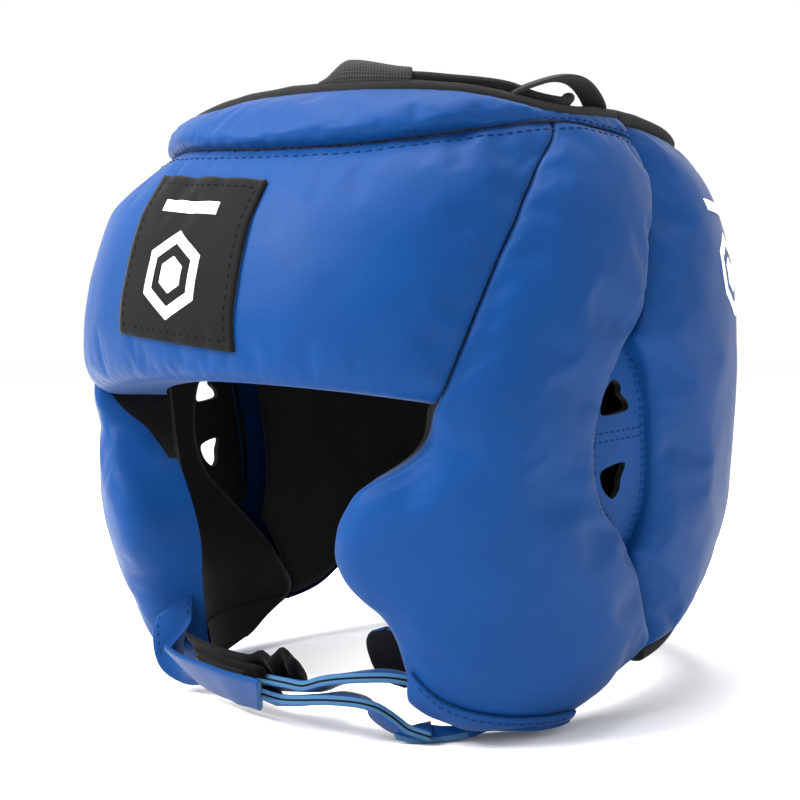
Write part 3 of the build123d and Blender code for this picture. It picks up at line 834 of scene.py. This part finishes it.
def touch(tree, angle, up, depth=0.0):
    """Where a line through the hull at this place meets a cover: point and outward normal."""
    middle, _, out, _ = hull_frame(angle, up, depth)
    hit, normal, _, _ = tree.ray_cast(middle + out * 0.03, -out, 0.07)
    if hit is None:
        return middle, out
    if normal.dot(out) < 0:
        normal = -normal
    return hit, normal


# %% Stitches: thread capsules laid end to end on a surface
def stitches(name, runs, material, body, length=2.5, thick=0.55, gap=1.0):
    """runs are lists of (point, normal) close together; each becomes a row of stitches."""
    bm = bmesh.new()
    count = 0
    for run in runs:
        spots = [Vector(point) for point, _ in run]
        travelled, wanted = 0.0, 0.0
        for index in range(1, len(spots)):
            step = (spots[index] - spots[index - 1]).length / MM
            while step > 0 and travelled + step >= wanted:
                share = (wanted - travelled) / step
                spot = spots[index - 1].lerp(spots[index], share)
                ahead = (spots[index] - spots[index - 1]).normalized()
                up = Vector(run[index][1]).normalized()
                side = up.cross(ahead).normalized()
                turn = Matrix((ahead, side, ahead.cross(side))).transposed().to_4x4()
                size = Matrix.Diagonal((length / 2 * MM, thick / 2 * MM, thick / 2 * MM, 1))
                place = Matrix.Translation(spot + up * thick * 0.12 * MM) @ turn @ size
                bmesh.ops.create_icosphere(bm, subdivisions=1, radius=1.0, matrix=place)
                count += 1
                wanted += length + gap
            travelled += step
    bmesh.ops.recalc_face_normals(bm, faces=bm.faces)
    piece = new_piece(name, bm, material)
    set_piece(piece, body, "leather")
    print(f"{name}: {count} stitches")
    return piece


# %% [markdown]
# ## Bound rim and hems
#
# Black tape is folded over the top edge all round, and over the bottom edge of the wings.

# %% Bindings
def rim_bar(name, low_angle, high_angle, node, body):
    steps = int(abs(high_angle - low_angle) / 2)
    rings = []
    for step in range(steps + 1):
        angle = mix(low_angle, high_angle, step / steps)
        up = along(RIM, angle)
        middle, _, out, _ = hull_frame(angle, up, 6.4)
        level = Vector((out.x, out.y, 0)).normalized()
        wave = 0.35 * noise.noise(Vector((angle * 0.11, 5.0, 0)))
        rings.append(bar_ring(middle + Vector((0, 0, 0.5 + wave)) * MM, level, Vector((0, 0, 1)), 9.6, 5.4, 2.8))
    return set_piece(loft(name, rings, [binding_tape]), body, "webbing", node)


rim_bar("front_rim_tape", -97.3, 97.3, "front_rim_binding", "shell")
for side, sign in (("left", 1), ("right", -1)):
    rim_bar(f"{side}_rear_rim_tape", sign * 97.9, sign * WING_REAR, f"{side}_rear_rim_binding",
            f"{side}_rear_wing")
    rings = []
    for step in range(41):
        angle = sign * mix(101, 172.5, step / 40)
        middle, _, out, _ = hull_frame(angle, along(HEM, abs(angle)), 9.0)
        level = Vector((out.x, out.y, 0)).normalized()
        rings.append(bar_ring(middle - Vector((0, 0, 0.6)) * MM, level, Vector((0, 0, 1)), 9.0, 4.6, 2.6))
    set_piece(loft(f"{side}_rear_hem_tape", rings, [binding_tape]), f"{side}_rear_wing", "webbing",
              f"{side}_rear_hem_binding")

    def facing(u, v, sign=sign):
        up = mix(-98, -85, v)
        angle = mix(cheek_front(up) + 2, cheek_rear(up) - 2, u)
        return on_hull(sign * angle, up, pad_depth(up) + 0.4)

    bm, _ = mapped_grid(24, 8, facing)
    face_outwards(bm)
    bmesh.ops.reverse_faces(bm, faces=bm.faces)
    facing_piece = new_piece(f"{side}_cheek_facing", bm, velour)
    facing_piece.modifiers.new("thickness", "SOLIDIFY").thickness = 1.2 * MM
    set_piece(facing_piece, "shell", "velour", f"{side}_cheek_binding")

# %% [markdown]
# ## Webbing tunnels and the crown lace
#
# Four short webbing loops are sewn to the rim.  Their middles arch up, and the lace runs
# through them round the crown and across it, ending in a knot at the back.

# %% Tunnels
def tunnel(name, low_angle, high_angle, section, node):
    """Webbing sheet along the rim; section(u, v) gives its depth behind the hull and its rise."""
    def lay(u, v):
        angle = mix(low_angle, high_angle, u)
        depth, rise = section(u, v)
        return on_hull(angle, along(RIM, angle), depth) + Vector((0, 0, rise)) * MM

    bm, _ = mapped_grid(30, 18, lay)
    bmesh.ops.recalc_face_normals(bm, faces=bm.faces)
    piece = new_piece(name, bm, tunnel_webbing)
    solid = piece.modifiers.new("thickness", "SOLIDIFY")
    solid.thickness, solid.offset = 1.3 * MM, 0
    finish_with(piece)
    return set_piece(piece, "shell", "webbing", node)


def upright(u, v):
    """Loop folded over the lace; it slopes up from its forward end."""
    height = 1.0 + 6.6 * ease(u / 0.36) * (1 - 0.42 * ease((u - 0.36) / 0.64))
    return 6.0 + 3.4 * math.cos(math.pi * v), 2.0 + height * math.sin(math.pi * v) ** 0.5


def fallen(u, v):
    """The same loop where the lace has pulled it inwards, below the rim."""
    return 11.0 + 4.0 * math.cos(math.pi * v), -2.0 + 4.0 * math.sin(math.pi * v) ** 0.5


def arched(u, v):
    """Strap sewn down at both ends that arches over the rim, open underneath."""
    return 2.0 + 8.5 * v, 2.4 + 9.6 * math.sin(math.pi * u ** 1.15) ** 0.8 + 0.8 * math.sin(math.pi * v)


tunnel("left_front_tunnel", 15, 41.5, upright, "left_front_rim_tab")
tunnel("right_front_tunnel", -21.5, -42, fallen, "right_front_rim_tab")
tunnel("left_side_tunnel", 63, 92, arched, "left_side_rim_tab")
tunnel("right_side_tunnel", -63, -92, arched, "right_side_rim_tab")


# %% Lace: a closed loop with its crossings at the front and the back, and a knot
def rim_spot(angle, depth, rise):
    return on_hull(angle, along(RIM, angle), depth) + Vector((0, 0, rise)) * MM


half = [rim_spot(12, 16, -5), rim_spot(20, 8, 1.5)]
half += [rim_spot(angle, 6.0, 4.6) for angle in (26, 32, 38)]
half += [rim_spot(44, 5.2, 4.4), rim_spot(50, 5.4, 4.2), rim_spot(57, 5.2, 4.6), rim_spot(63, 5.6, 5.2)]
half += [rim_spot(69, 6.0, 4.4), rim_spot(76, 5.0, 4.2), rim_spot(81, 8.0, 6.4), rim_spot(85, 14.0, 5.0)]
half += [rim_spot(91, 26, -1)]
other = [Vector((-spot.x, spot.y, spot.z)) for spot in reversed(half)]
other[-7:] = [spot + Vector((0.004, 0.003, -0.0055)) for spot in other[-7:]]
route = half + other


def closed_curve(points, place):
    """Catmull-Rom point on a closed route; place counts points from the first."""
    count = len(points)
    index, t = int(place), place - int(place)
    p0, p1, p2, p3 = (points[(index + offset) % count] for offset in (-1, 0, 1, 2))
    return 0.5 * ((2 * p1) + (p2 - p0) * t + (2 * p0 - 5 * p1 + 4 * p2 - p3) * t**2
                  + (3 * p1 - p0 - 3 * p2 + p3) * t**3)


rings = []
LACE_STEPS = 420
for step in range(LACE_STEPS):
    spot = closed_curve(route, step / LACE_STEPS * len(route))
    ahead = (closed_curve(route, (step + 0.5) / LACE_STEPS * len(route)) - spot).normalized()
    across = ahead.cross(Vector((0, 0, 1))).normalized()
    rings.append(bar_ring(spot, across, across.cross(ahead), 4.2, 3.2, 2.2, 10))
lace = loft("crown_lace_braid", rings, [braid], closed=True)
set_piece(lace, "shell", "cord", "crown_lace")

knot_centre = closed_curve(route, len(half) - 0.5)


def knot_spot(turn):
    """Trefoil round the middle of the lace's rear crossing."""
    return knot_centre + Vector((math.sin(turn) + 2 * math.sin(2 * turn),
                                 0.9 * (math.cos(turn) - 2 * math.cos(2 * turn)),
                                 -1.6 * math.sin(3 * turn))) * 1.9 * MM


knot_rings = []
for step in range(90):
    turn = 2 * math.pi * step / 90
    spot = knot_spot(turn)
    ahead = (knot_spot(turn + 0.02) - spot).normalized()
    across = ahead.cross(Vector((0, 0.3, 1))).normalized()
    knot_rings.append(bar_ring(spot, across, across.cross(ahead), 3.6, 3.6, 2.0, 8))
set_piece(loft("lace_knot_braid", knot_rings, [braid], closed=True), "shell", "cord", "lace_knot")

# %% [markdown]
# ## Ear patches
#
# Behind each cheek a narrow flat patch is sewn, deeper than the pads, with two D-shaped
# openings for hearing.  The openings are cut with a boolean, applied at once.

# %% Ear patches
EAR_DEPTH = 9.0
UPPER_HOLE = [(78.7, -2.2), (85.6, -1.0), (86.0, 1.8), (84.0, 4.6), (83.9, 7.2), (82.0, 9.2),
              (80.0, 6.8), (78.7, 3.0)]
LOWER_HOLE = [(79.5, -20.0), (85.9, -17.8), (85.2, -23.0), (85.0, -27.0), (83.4, -29.6),
              (81.3, -28.0), (79.5, -24.5)]


def ear_surface(angle, up, raised=0.0):
    share = min(max((angle - cheek_rear(up)) / 15, 0.0), 1.0)
    return on_hull(angle, up, EAR_DEPTH + 1.5 - 2.0 * share - raised)


def hole_cutter(outline, sign):
    """Prism through the patch with a smoothed outline."""
    corners = [Vector((*corner, 0)) for corner in outline]
    smooth = [closed_curve(corners, index / 6) for index in range(len(corners) * 6)]
    rings = [[on_hull(sign * spot.x, spot.y, depth) for spot in smooth] for depth in (2, 24)]
    return loft("cutter", rings, [velour])


for side, sign in (("left", 1), ("right", -1)):
    def ear_lay(u, v, sign=sign):
        up = mix(-53, 28, v)
        low, high = cheek_rear(up) - 2.0, max(wing_front(up), cheek_rear(up)) + 2.0
        angle = mix(low, high, u)
        return ear_surface(angle, up) if sign > 0 else Vector((-1, 1, 1)) * ear_surface(angle, up)

    bm, _ = mapped_grid(20, 60, ear_lay)
    face_outwards(bm)
    patch = new_piece(f"{side}_ear_patch_leather", bm, blue, velour)
    solid = patch.modifiers.new("thickness", "SOLIDIFY")
    solid.thickness, solid.offset, solid.material_offset = 2.4 * MM, -1, 1
    cutters = [hole_cutter(outline, sign) for outline in (UPPER_HOLE, LOWER_HOLE)]
    for cutter in cutters:
        cut = patch.modifiers.new("hole", "BOOLEAN")
        cut.object, cut.operation, cut.solver = cutter, "DIFFERENCE", "EXACT"
    graph = bpy.context.evaluated_depsgraph_get()
    cut_mesh = bpy.data.meshes.new_from_object(patch.evaluated_get(graph))
    patch.modifiers.clear()
    patch.data = cut_mesh
    for cutter in cutters:
        bpy.data.objects.remove(cutter)
    cut_mesh.polygons.foreach_set("use_smooth", [False] * len(cut_mesh.polygons))
    print(patch.name, len(cut_mesh.polygons), "faces")
    set_piece(patch, "shell", "leather", f"{side}_ear_patch", f"{side}_ear_lining")

    def ear_run(points, sign=sign):
        run = []
        for angle, up in points:
            spot = ear_surface(angle, up)
            _, _, out, _ = hull_frame(angle, up)
            if sign < 0:
                spot, out = Vector((-spot.x, spot.y, spot.z)), Vector((-out.x, out.y, out.z))
            run.append((spot, out))
        return run

    runs = []
    for inset in (1.0, 2.6):
        runs.append(ear_run([(cheek_rear(up) + inset / 1.6, up) for up in numpy.linspace(-44, 22, 60)]))
        runs.append(ear_run([(along(EAR_REAR, up) - inset / 1.6, up) for up in numpy.linspace(-44, 22, 60)]))
    for level in (-8.4, -11.2):
        runs.append(ear_run([(angle, level + 0.12 * (angle - 76)) for angle in numpy.linspace(77, 91, 14)]))
    stitches(f"{side}_ear_stitches", runs, blue_thread, "shell", 1.7, 0.6, 1.1)

# %% [markdown]
# ## Crown seam, badge and prints
#
# Two rows of stitches run on either side of the crown seam.  The badge is a rubber patch with
# a stitched border and a generic mark: a hexagon ring round a small hexagon over a plain bar.

# %% Crown seam stitches
crown_tree = surface_of("crown_band_cover", "forehead_cover", "left_cheek_cover", "right_cheek_cover")
runs = []
for offset in (1.7, -1.9):
    run = []
    for angle in numpy.linspace(-97, 97, 500):
        run.append(touch(crown_tree, angle, along(CROWN_SEAM, angle) + offset))
    runs.append(run)
stitches("crown_seam_stitches", runs, blue_thread, "shell", 2.6, 0.7, 0.9)

# %% Badge
BADGE_HALF_WIDTH, BADGE_LOW, BADGE_HIGH = 26.0, 21.0, 73.5
forehead_tree = surface_of("forehead_cover")


def badge_spot(x, y, raised):
    """Point on the forehead at x across and y up, in millimetres, raised off the leather."""
    y -= 0.12 * x
    radius = hull_radius(0, y)
    hit, normal = touch(forehead_tree, math.degrees(x / radius), y)
    return hit + normal * raised * MM, normal


def badge_lay(u, v):
    x, y = mix(-BADGE_HALF_WIDTH, BADGE_HALF_WIDTH, u), mix(BADGE_LOW, BADGE_HIGH, v)
    edge = min(u, 1 - u) * 2 * BADGE_HALF_WIDTH, min(v, 1 - v) * (BADGE_HIGH - BADGE_LOW)
    return badge_spot(x, y, 1.5 if min(edge) > 1.2 else 1.25)[0]


bm, _ = mapped_grid(40, 42, badge_lay)
face_outwards(bm)
badge = new_piece("badge_patch_rubber", bm, badge_black)
solid = badge.modifiers.new("thickness", "SOLIDIFY")
solid.thickness, solid.offset = 1.6 * MM, -1
set_piece(badge, "shell", "badge", "badge_patch")

inset = 3.0
corners = [(-BADGE_HALF_WIDTH + inset, BADGE_LOW + inset), (BADGE_HALF_WIDTH - inset, BADGE_LOW + inset),
           (BADGE_HALF_WIDTH - inset, BADGE_HIGH - inset), (-BADGE_HALF_WIDTH + inset, BADGE_HIGH - inset)]
run = []
for (x0, y0), (x1, y1) in zip(corners, corners[1:] + corners[:1]):
    run += [badge_spot(mix(x0, x1, t / 30), mix(y0, y1, t / 30), 1.5) for t in range(30)]
run.append(run[0])
stitches("badge_stitches", [run], dark_thread, "shell", 2.2, 0.55, 1.0)


# %% The generic mark
def mark(name, spot, centre, size, body):
    """Hexagon ring, small hexagon and plain bar, laid through spot(x, y, raised)."""
    bm = bmesh.new()
    for outer, inner in ((1.0, 0.72), (0.42, 0.0)):
        rows = []
        for level in range(5):
            scale = mix(outer, inner, level / 4)
            row = []
            for index in range(48):
                corner, t = divmod(index / 8, 1)
                a0, a1 = math.radians(60 * corner + 30), math.radians(60 * corner + 90)
                x = mix(math.cos(a0), math.cos(a1), t) * scale * size
                y = mix(math.sin(a0), math.sin(a1), t) * scale * size
                row.append(bm.verts.new(spot(centre[0] + x, centre[1] + y, 0.0)[0]))
            rows.append(row)
        for inner_row, outer_row in zip(rows[1:], rows[:-1]):
            for index in range(48):
                following = (index + 1) % 48
                bm.faces.new((outer_row[index], outer_row[following], inner_row[following], inner_row[index]))
    bar_low = centre[1] + size * 1.45
    rows = [[bm.verts.new(spot(centre[0] + mix(-1, 1, i / 24) * size, bar_low + j * 1.3, 0.0)[0])
             for i in range(25)] for j in range(4)]
    for low_row, high_row in zip(rows[:-1], rows[1:]):
        for index in range(24):
            bm.faces.new((low_row[index], low_row[index + 1], high_row[index + 1], high_row[index]))
    bmesh.ops.remove_doubles(bm, verts=bm.verts, dist=1e-7)
    face_outwards(bm)
    piece = new_piece(name, bm, print_white)
    solid = piece.modifiers.new("thickness", "SOLIDIFY")
    solid.thickness, solid.offset = 0.25 * MM, 1
    return set_piece(piece, body, "badge")


mark("badge_mark", lambda x, y, raised: badge_spot(x, y, 1.52 + raised), (-1, 41), 13.5, "shell")
wing_tree = surface_of("left_rear_cover")


def wing_spot(x, y, raised):
    radius = hull_radius(123, y)
    hit, normal = touch(wing_tree, 123 + math.degrees(x / radius), y)
    return hit + normal * (0.1 + raised) * MM, normal


mark("rear_print", wing_spot, (0, 46), 15, "left_rear_wing")

# %% [markdown]
# ## Rear closure
#
# A wide leather strap hinged on the right wing closes over a loop patch on the left one.

# %% Closure
CLOSURE_LOW, CLOSURE_HIGH = -37.0, 24.5
CLOSURE_FACE = -6.3      # depth of the strap's outer face, outside the hull


def closure_slab(name, low_angle, high_angle, low, high, depth, thick, material):
    """Slab that follows the back of the hull, with bevelled long edges."""
    rings = []
    bevel = 0.3 * thick
    steps = max(int((high_angle - low_angle) / 1.5), 4)
    for step in range(steps + 1):
        angle = mix(low_angle, high_angle, step / steps)
        column = [mix(low, high, t / 12) for t in range(13)]
        ring = [on_hull(angle, up, depth + (bevel if i in (0, 12) else 0)) for i, up in enumerate(column)]
        ring += [on_hull(angle, up, depth + thick) for up in reversed(column)]
        rings.append(ring)
    return loft(name, rings, [material])


def loop_lay(u, v):
    hit, normal = touch(wing_tree, mix(144, 169, u), mix(CLOSURE_LOW + 2, CLOSURE_HIGH - 2, v))
    return hit + normal * 0.7 * MM


bm, _ = mapped_grid(24, 24, loop_lay)
face_outwards(bm)
loop = new_piece("closure_loop_tape", bm, hook_tape)
solid = loop.modifiers.new("thickness", "SOLIDIFY")
solid.thickness, solid.offset = 1.0 * MM, -1
set_piece(loop, "left_rear_wing", "hook_and_loop", "closure_loop_patch")
hook = closure_slab("closure_hook_tape", 159, 170, CLOSURE_LOW + 3, CLOSURE_HIGH - 3, -3.1, 1.4, hook_tape)
set_piece(hook, "rear_closure", "hook_and_loop", "closure_hook_patch")
strap_piece = closure_slab("closure_strap_leather", 158, 195.4, CLOSURE_LOW, CLOSURE_HIGH,
                           CLOSURE_FACE, 3.0, blue)
set_piece(strap_piece, "rear_closure", "leather", "closure_strap")
base_piece = closure_slab("closure_base_leather", 197.4, 206, CLOSURE_LOW, CLOSURE_HIGH,
                          CLOSURE_FACE, 10.0, blue)
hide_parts("closure_base")
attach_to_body(base_piece, "right_rear_wing")
runs = []
inset = 3.0


def on_strap(angle, up):
    return hull_frame(angle, up, CLOSURE_FACE)[0], hull_frame(angle, up)[2]


for up in (CLOSURE_LOW + inset, CLOSURE_HIGH - inset):
    runs.append([on_strap(angle, up) for angle in numpy.linspace(160, 194, 60)])
for angle in (160, 193.8):
    runs.append([on_strap(angle, up)
                 for up in numpy.linspace(CLOSURE_LOW + inset, CLOSURE_HIGH - inset, 40)])
stitches("closure_stitches", runs, dark_thread, "rear_closure", 2.6, 0.6, 1.0)

# %% [markdown]
# ## Chin strap
#
# The strap is sewn to the right cheek, bends under it and runs towards the left one.  Its
# leather cover ends in a cut mouth; two narrow branches come out of it and part on their way
# to the left cheek.  Cut edges show a pale core on both sides of a dark lining.

# %% Chin line
ANCHOR = (51.0, -66.0, -90.0)
CHIN_BOW = 10.0
CHIN_TILT = math.radians(42)


def chin_middle(share):
    bow = math.cos(share * math.pi / 2) * CHIN_BOW
    return Vector((share * ANCHOR[0], ANCHOR[1] - bow, ANCHOR[2] - 0.2 * bow))


def chin_frame(share):
    """Middle, across and outward directions of the chin strap; share is -1 at the right anchor."""
    run = (chin_middle(share + 0.01) - chin_middle(share - 0.01)).normalized()
    out = Vector((0, -math.cos(CHIN_TILT), -math.sin(CHIN_TILT)))
    out = (out - run * out.dot(run)).normalized()
    across = run.cross(out).normalized()
    if across.z < 0:
        across = -across
    return chin_middle(share), across, out


EDGES = {0: 1, 15: 1, 7: 1, 8: 1}


def layered_ring(middle, across, out, width, thick):
    """Strap section with three bands on each cut edge: leather, dark core, leather."""
    half, low, core, high, bevel = width / 2, -0.44 * thick, 0.10 * thick, 0.5 * thick, 0.5
    side = [(half, low), (half, -core), (half, core), (half, -low), (half - bevel, high)]
    other = [(-a, b) for a, b in reversed(side)]
    bottom = [(-half + bevel, -high), (half - bevel, -high)]
    return [middle + (across * a + out * b) * MM for a, b in side + other + bottom]


LAYERED_EDGES = {0: 1, 1: 2, 2: 1, 6: 1, 7: 2, 8: 1}


def chin_bar(name, stations, materials, edge_faces=None, power=5.0, cap=0):
    """Strap through stations: middle in mm from the head centre, across, out, width, thickness, skew."""
    rings = []
    for station in stations:
        middle, across, out, width, thick = station[:5]
        skew = station[5] if len(station) > 5 else 0.0
        lean = across + Vector((skew, 0, 0))
        if edge_faces is LAYERED_EDGES:
            rings.append(layered_ring(HEAD + middle * MM, lean, out, width, thick))
        else:
            rings.append(bar_ring(HEAD + middle * MM, lean, out, width, thick, power))
    return loft(name, rings, materials, edge_faces=edge_faces, cap=cap)


def blend_frames(frames, steps):
    """Smooth stations through (middle, across, out, width, thick) key frames."""
    keys = [(index, *middle, *across, *out, width, thick)
            for index, (middle, across, out, width, thick) in enumerate(frames)]
    stations = []
    for row in smooth_keys(keys, steps):
        across, out = Vector(row[3:6]).normalized(), Vector(row[6:9])
        out = (out - across * out.dot(across)).normalized()
        stations.append((Vector(row[0:3]), across, out, row[9], row[10]))
    return stations


def chin_key(share, raised, width, thick):
    middle, across, out = chin_frame(share)
    return middle + out * raised, across, out, width, thick


# %% Right anchor patch: it lies across the thick front edge of the cheek and bends under it
across_edge, off_edge = Vector((0.39, 0.48, 0.78)), Vector((0.78, -0.63, 0.0))
anchor = blend_frames([(Vector((-56.0, -67.4, -73.0)), across_edge, off_edge, 16, 1.6),
                       (Vector((-55.2, -67.8, -75.0)), across_edge, off_edge, 21, 2.2),
                       (Vector((-53.4, -68.4, -81)), across_edge, off_edge, 23, 2.4),
                       (Vector((-51.2, -69.0, -88)), Vector((0.42, 0.34, 0.84)),
                        Vector((0.66, -0.74, -0.12)), 21, 2.4),
                       (Vector((-46.0, -70.6, -92.6)), Vector((0.24, -0.24, 0.94)),
                        Vector((0.2, -0.86, -0.46)), 20, 2.2),
                       chin_key(-0.78, 5.1, 20, 2.0)], 50)
anchor_piece = chin_bar("right_anchor_leather", anchor, [blue, cut_edge], {}, cap=1)
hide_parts("right_anchor_patch")
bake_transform(anchor_piece)
anchor_tree = surface_of("right_anchor_leather")
runs = []
for side in (1, -1):
    run = []
    for middle, across, out, width, thick in anchor[6:26]:
        spot = HEAD + (middle + across * side * (width / 2 - 3) + out * 9) * MM
        hit, normal, _, _ = anchor_tree.ray_cast(spot, -out, 0.03)
        if hit is not None:
            run.append((hit, out))
    runs.append(run)
stitches("right_anchor_stitches", runs, blue_thread, "shell", 1.6, 0.5, 1.4)

# %% Cover: its mouth is cut on a slant
cover = []
for step in range(41):
    share = mix(-0.84, 0.08, step / 40)
    middle, across, out = chin_frame(share)
    soft = 0.7 * noise.noise(Vector((share * 4, 1.0, 0)))
    skew = 0.62 * ease((share + 0.45) / 0.5)
    cover.append((middle + out * (5.3 + soft), across, out, 20.4 - 1.4 * ease((share + 0.4) / 0.45), 2.2, skew))
cover_piece = chin_bar("chin_cover_leather", cover, [blue, cut_edge], {}, cap=1)
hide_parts("chin_cover", "chin_cover_lining")
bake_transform(cover_piece)

# %% Tongue and strap end
tongue = []
for step in range(57):
    share = mix(-0.76, 0.30, step / 56)
    middle, across, out = chin_frame(share)
    crumple = ease((share + 0.1) / 0.3)
    lift = crumple * (1.6 * math.sin(share * 38) + 3.2)
    tongue.append((middle - out * (2.6 + lift) + across * (1.0 + lift * 0.5), across, out,
                   18 - 5 * crumple, 2.4 + 2.4 * crumple * (1 + 0.5 * math.sin(share * 51))))
tongue_piece = chin_bar("chin_tongue_velour", tongue, [velour], power=2.6)
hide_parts("chin_tongue")
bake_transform(tongue_piece)

strap_end = chin_bar("chin_strap_end_leather",
                     [chin_key(mix(-0.6, 0.10, t / 16), 0, 17, 2.2) for t in range(17)],
                     [velour, cut_edge])
set_piece(strap_end, "chin_strap", "leather", "chin_strap_end")
hook_piece = chin_bar("chin_hook_tape", [chin_key(mix(-0.55, 0.0, t / 12), 2.2, 15, 1.6) for t in range(13)],
                      [hook_tape])
set_piece(hook_piece, "chin_strap", "hook_and_loop", "chin_hook_patch")

# %% Branches: two leather faces on a dark core, turned so that the cut edge shows
BRANCHES = {
    "upper": [(0.0, 2.0, -74.0, -92.6, 62), (0.8, 16.5, -75.0, -91.2, 72), (1.5, 24, -75.0, -90.3, 78),
              (2.3, 32, -74.0, -87.2, 80), (3.2, 42.5, -71.0, -84.9, 82), (4.0, 50, -66.5, -84.6, 80),
              (5.0, 57.5, -60.0, -87.0, 74)],
    "lower": [(0.0, 2.0, -74.5, -97.6, 62), (0.8, 14, -75.0, -96.6, 76), (1.5, 24, -75.0, -94.6, 82),
              (2.3, 34, -74.0, -92.8, 84), (3.0, 43, -71.0, -93.6, 74), (3.7, 47.5, -67.5, -98.0, 50),
              (4.3, 52, -63.0, -102.0, 62), (5.0, 58.5, -57.5, -102.6, 96)]}
for which, keys in BRANCHES.items():
    rows = smooth_keys(keys, 60)
    stations = []
    for index, (x, y, z, tilt) in enumerate(rows):
        ahead = Vector(rows[min(index + 1, 60)][:3]) - Vector(rows[max(index - 1, 0)][:3])
        ahead.normalize()
        out = Vector((0, -math.cos(math.radians(tilt)), -math.sin(math.radians(tilt))))
        out = (out - ahead * out.dot(ahead)).normalized()
        across = ahead.cross(out).normalized()
        if across.y > 0:
            across = -across
        stations.append((Vector((x, y, z)), across, out, 10.5, 3.4))
    branch = chin_bar(f"chin_{which}_branch_leather", stations, [blue, cut_edge, velour], LAYERED_EDGES, power=6.0)
    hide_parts(f"chin_{which}_branch")
    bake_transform(branch)
root_frames = [(Vector(spot), Vector((0.5, 0.8, 0.3)), Vector((0.1, -0.2, -1)), width, 2.4)
               for spot, width in (((54, -63, -102.2), 10), ((59, -58.5, -103.4), 11), ((65, -52, -103.2), 11),
                                   ((70, -46, -102.4), 10))]
root = chin_bar("chin_strap_root_leather", blend_frames(root_frames, 24), [blue, cut_edge], EDGES)
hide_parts("chin_strap_root")
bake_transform(root)

# %% Left anchors: a strip along the bottom of the cheek, and the velour tab inside its corner
cheek_tree = surface_of("left_cheek_cover")
STRIP_TOP = [(40, -80.5), (43.5, -85.2), (47, -89.6), (54, -93.6), (68, -97.6), (79, -97.8), (84, -95.5)]
STRIP_LOW = [(40, -97.5), (43.5, -98.5), (47, -99.5), (54, -101.8), (68, -103.6), (79, -102.6), (84, -98.5)]


def strip_lay(u, v):
    angle = mix(40.5, 77, u)
    up = mix(along(STRIP_LOW, angle), along(STRIP_TOP, angle), v)
    hit, normal = touch(cheek_tree, angle, max(up, -101.5))
    fall = min(up + 101.5, 0)
    return hit + (normal * (1.0 + 0.5 * math.sin(math.pi * v)) + Vector((0, 0, fall))) * MM


bm, _ = mapped_grid(60, 10, strip_lay)
bmesh.ops.smooth_vert(bm, verts=bm.verts, factor=0.5, use_axis_x=True, use_axis_y=True, use_axis_z=True)
face_outwards(bm)
strip_piece = new_piece("left_anchor_strip_leather", bm, blue)
solid = strip_piece.modifiers.new("thickness", "SOLIDIFY")
solid.thickness, solid.offset = 1.6 * MM, 0
finish_with(strip_piece)
set_piece(strip_piece, "shell", "leather", "left_anchor_strip")
strip_tree = surface_of("left_anchor_strip_leather")
run = [touch(strip_tree, angle, along(STRIP_TOP, angle) - 2.2) for angle in numpy.linspace(42.5, 75, 150)]
stitches("left_anchor_stitches", [run], blue_thread, "shell", 2.0, 0.55, 0.9)

tab_stations = []
for step in range(17):
    up = mix(-90.0, -71.0, step / 16)
    width = 16.5 * (1 - abs(2 * step / 16 - 1) ** 3) ** 0.5 + 1.0
    middle, _, out, run = hull_frame(37.5 - (up + 81) * 0.25, up, pad_depth(up) - 1.0)
    tab_stations.append(((middle - HEAD) / MM, run, out, width, 2.4))
tab = chin_bar("left_anchor_tab_velour", tab_stations, [velour, blue], EDGES, power=3.0)
set_piece(tab, "shell", "velour", "left_anchor_tab")
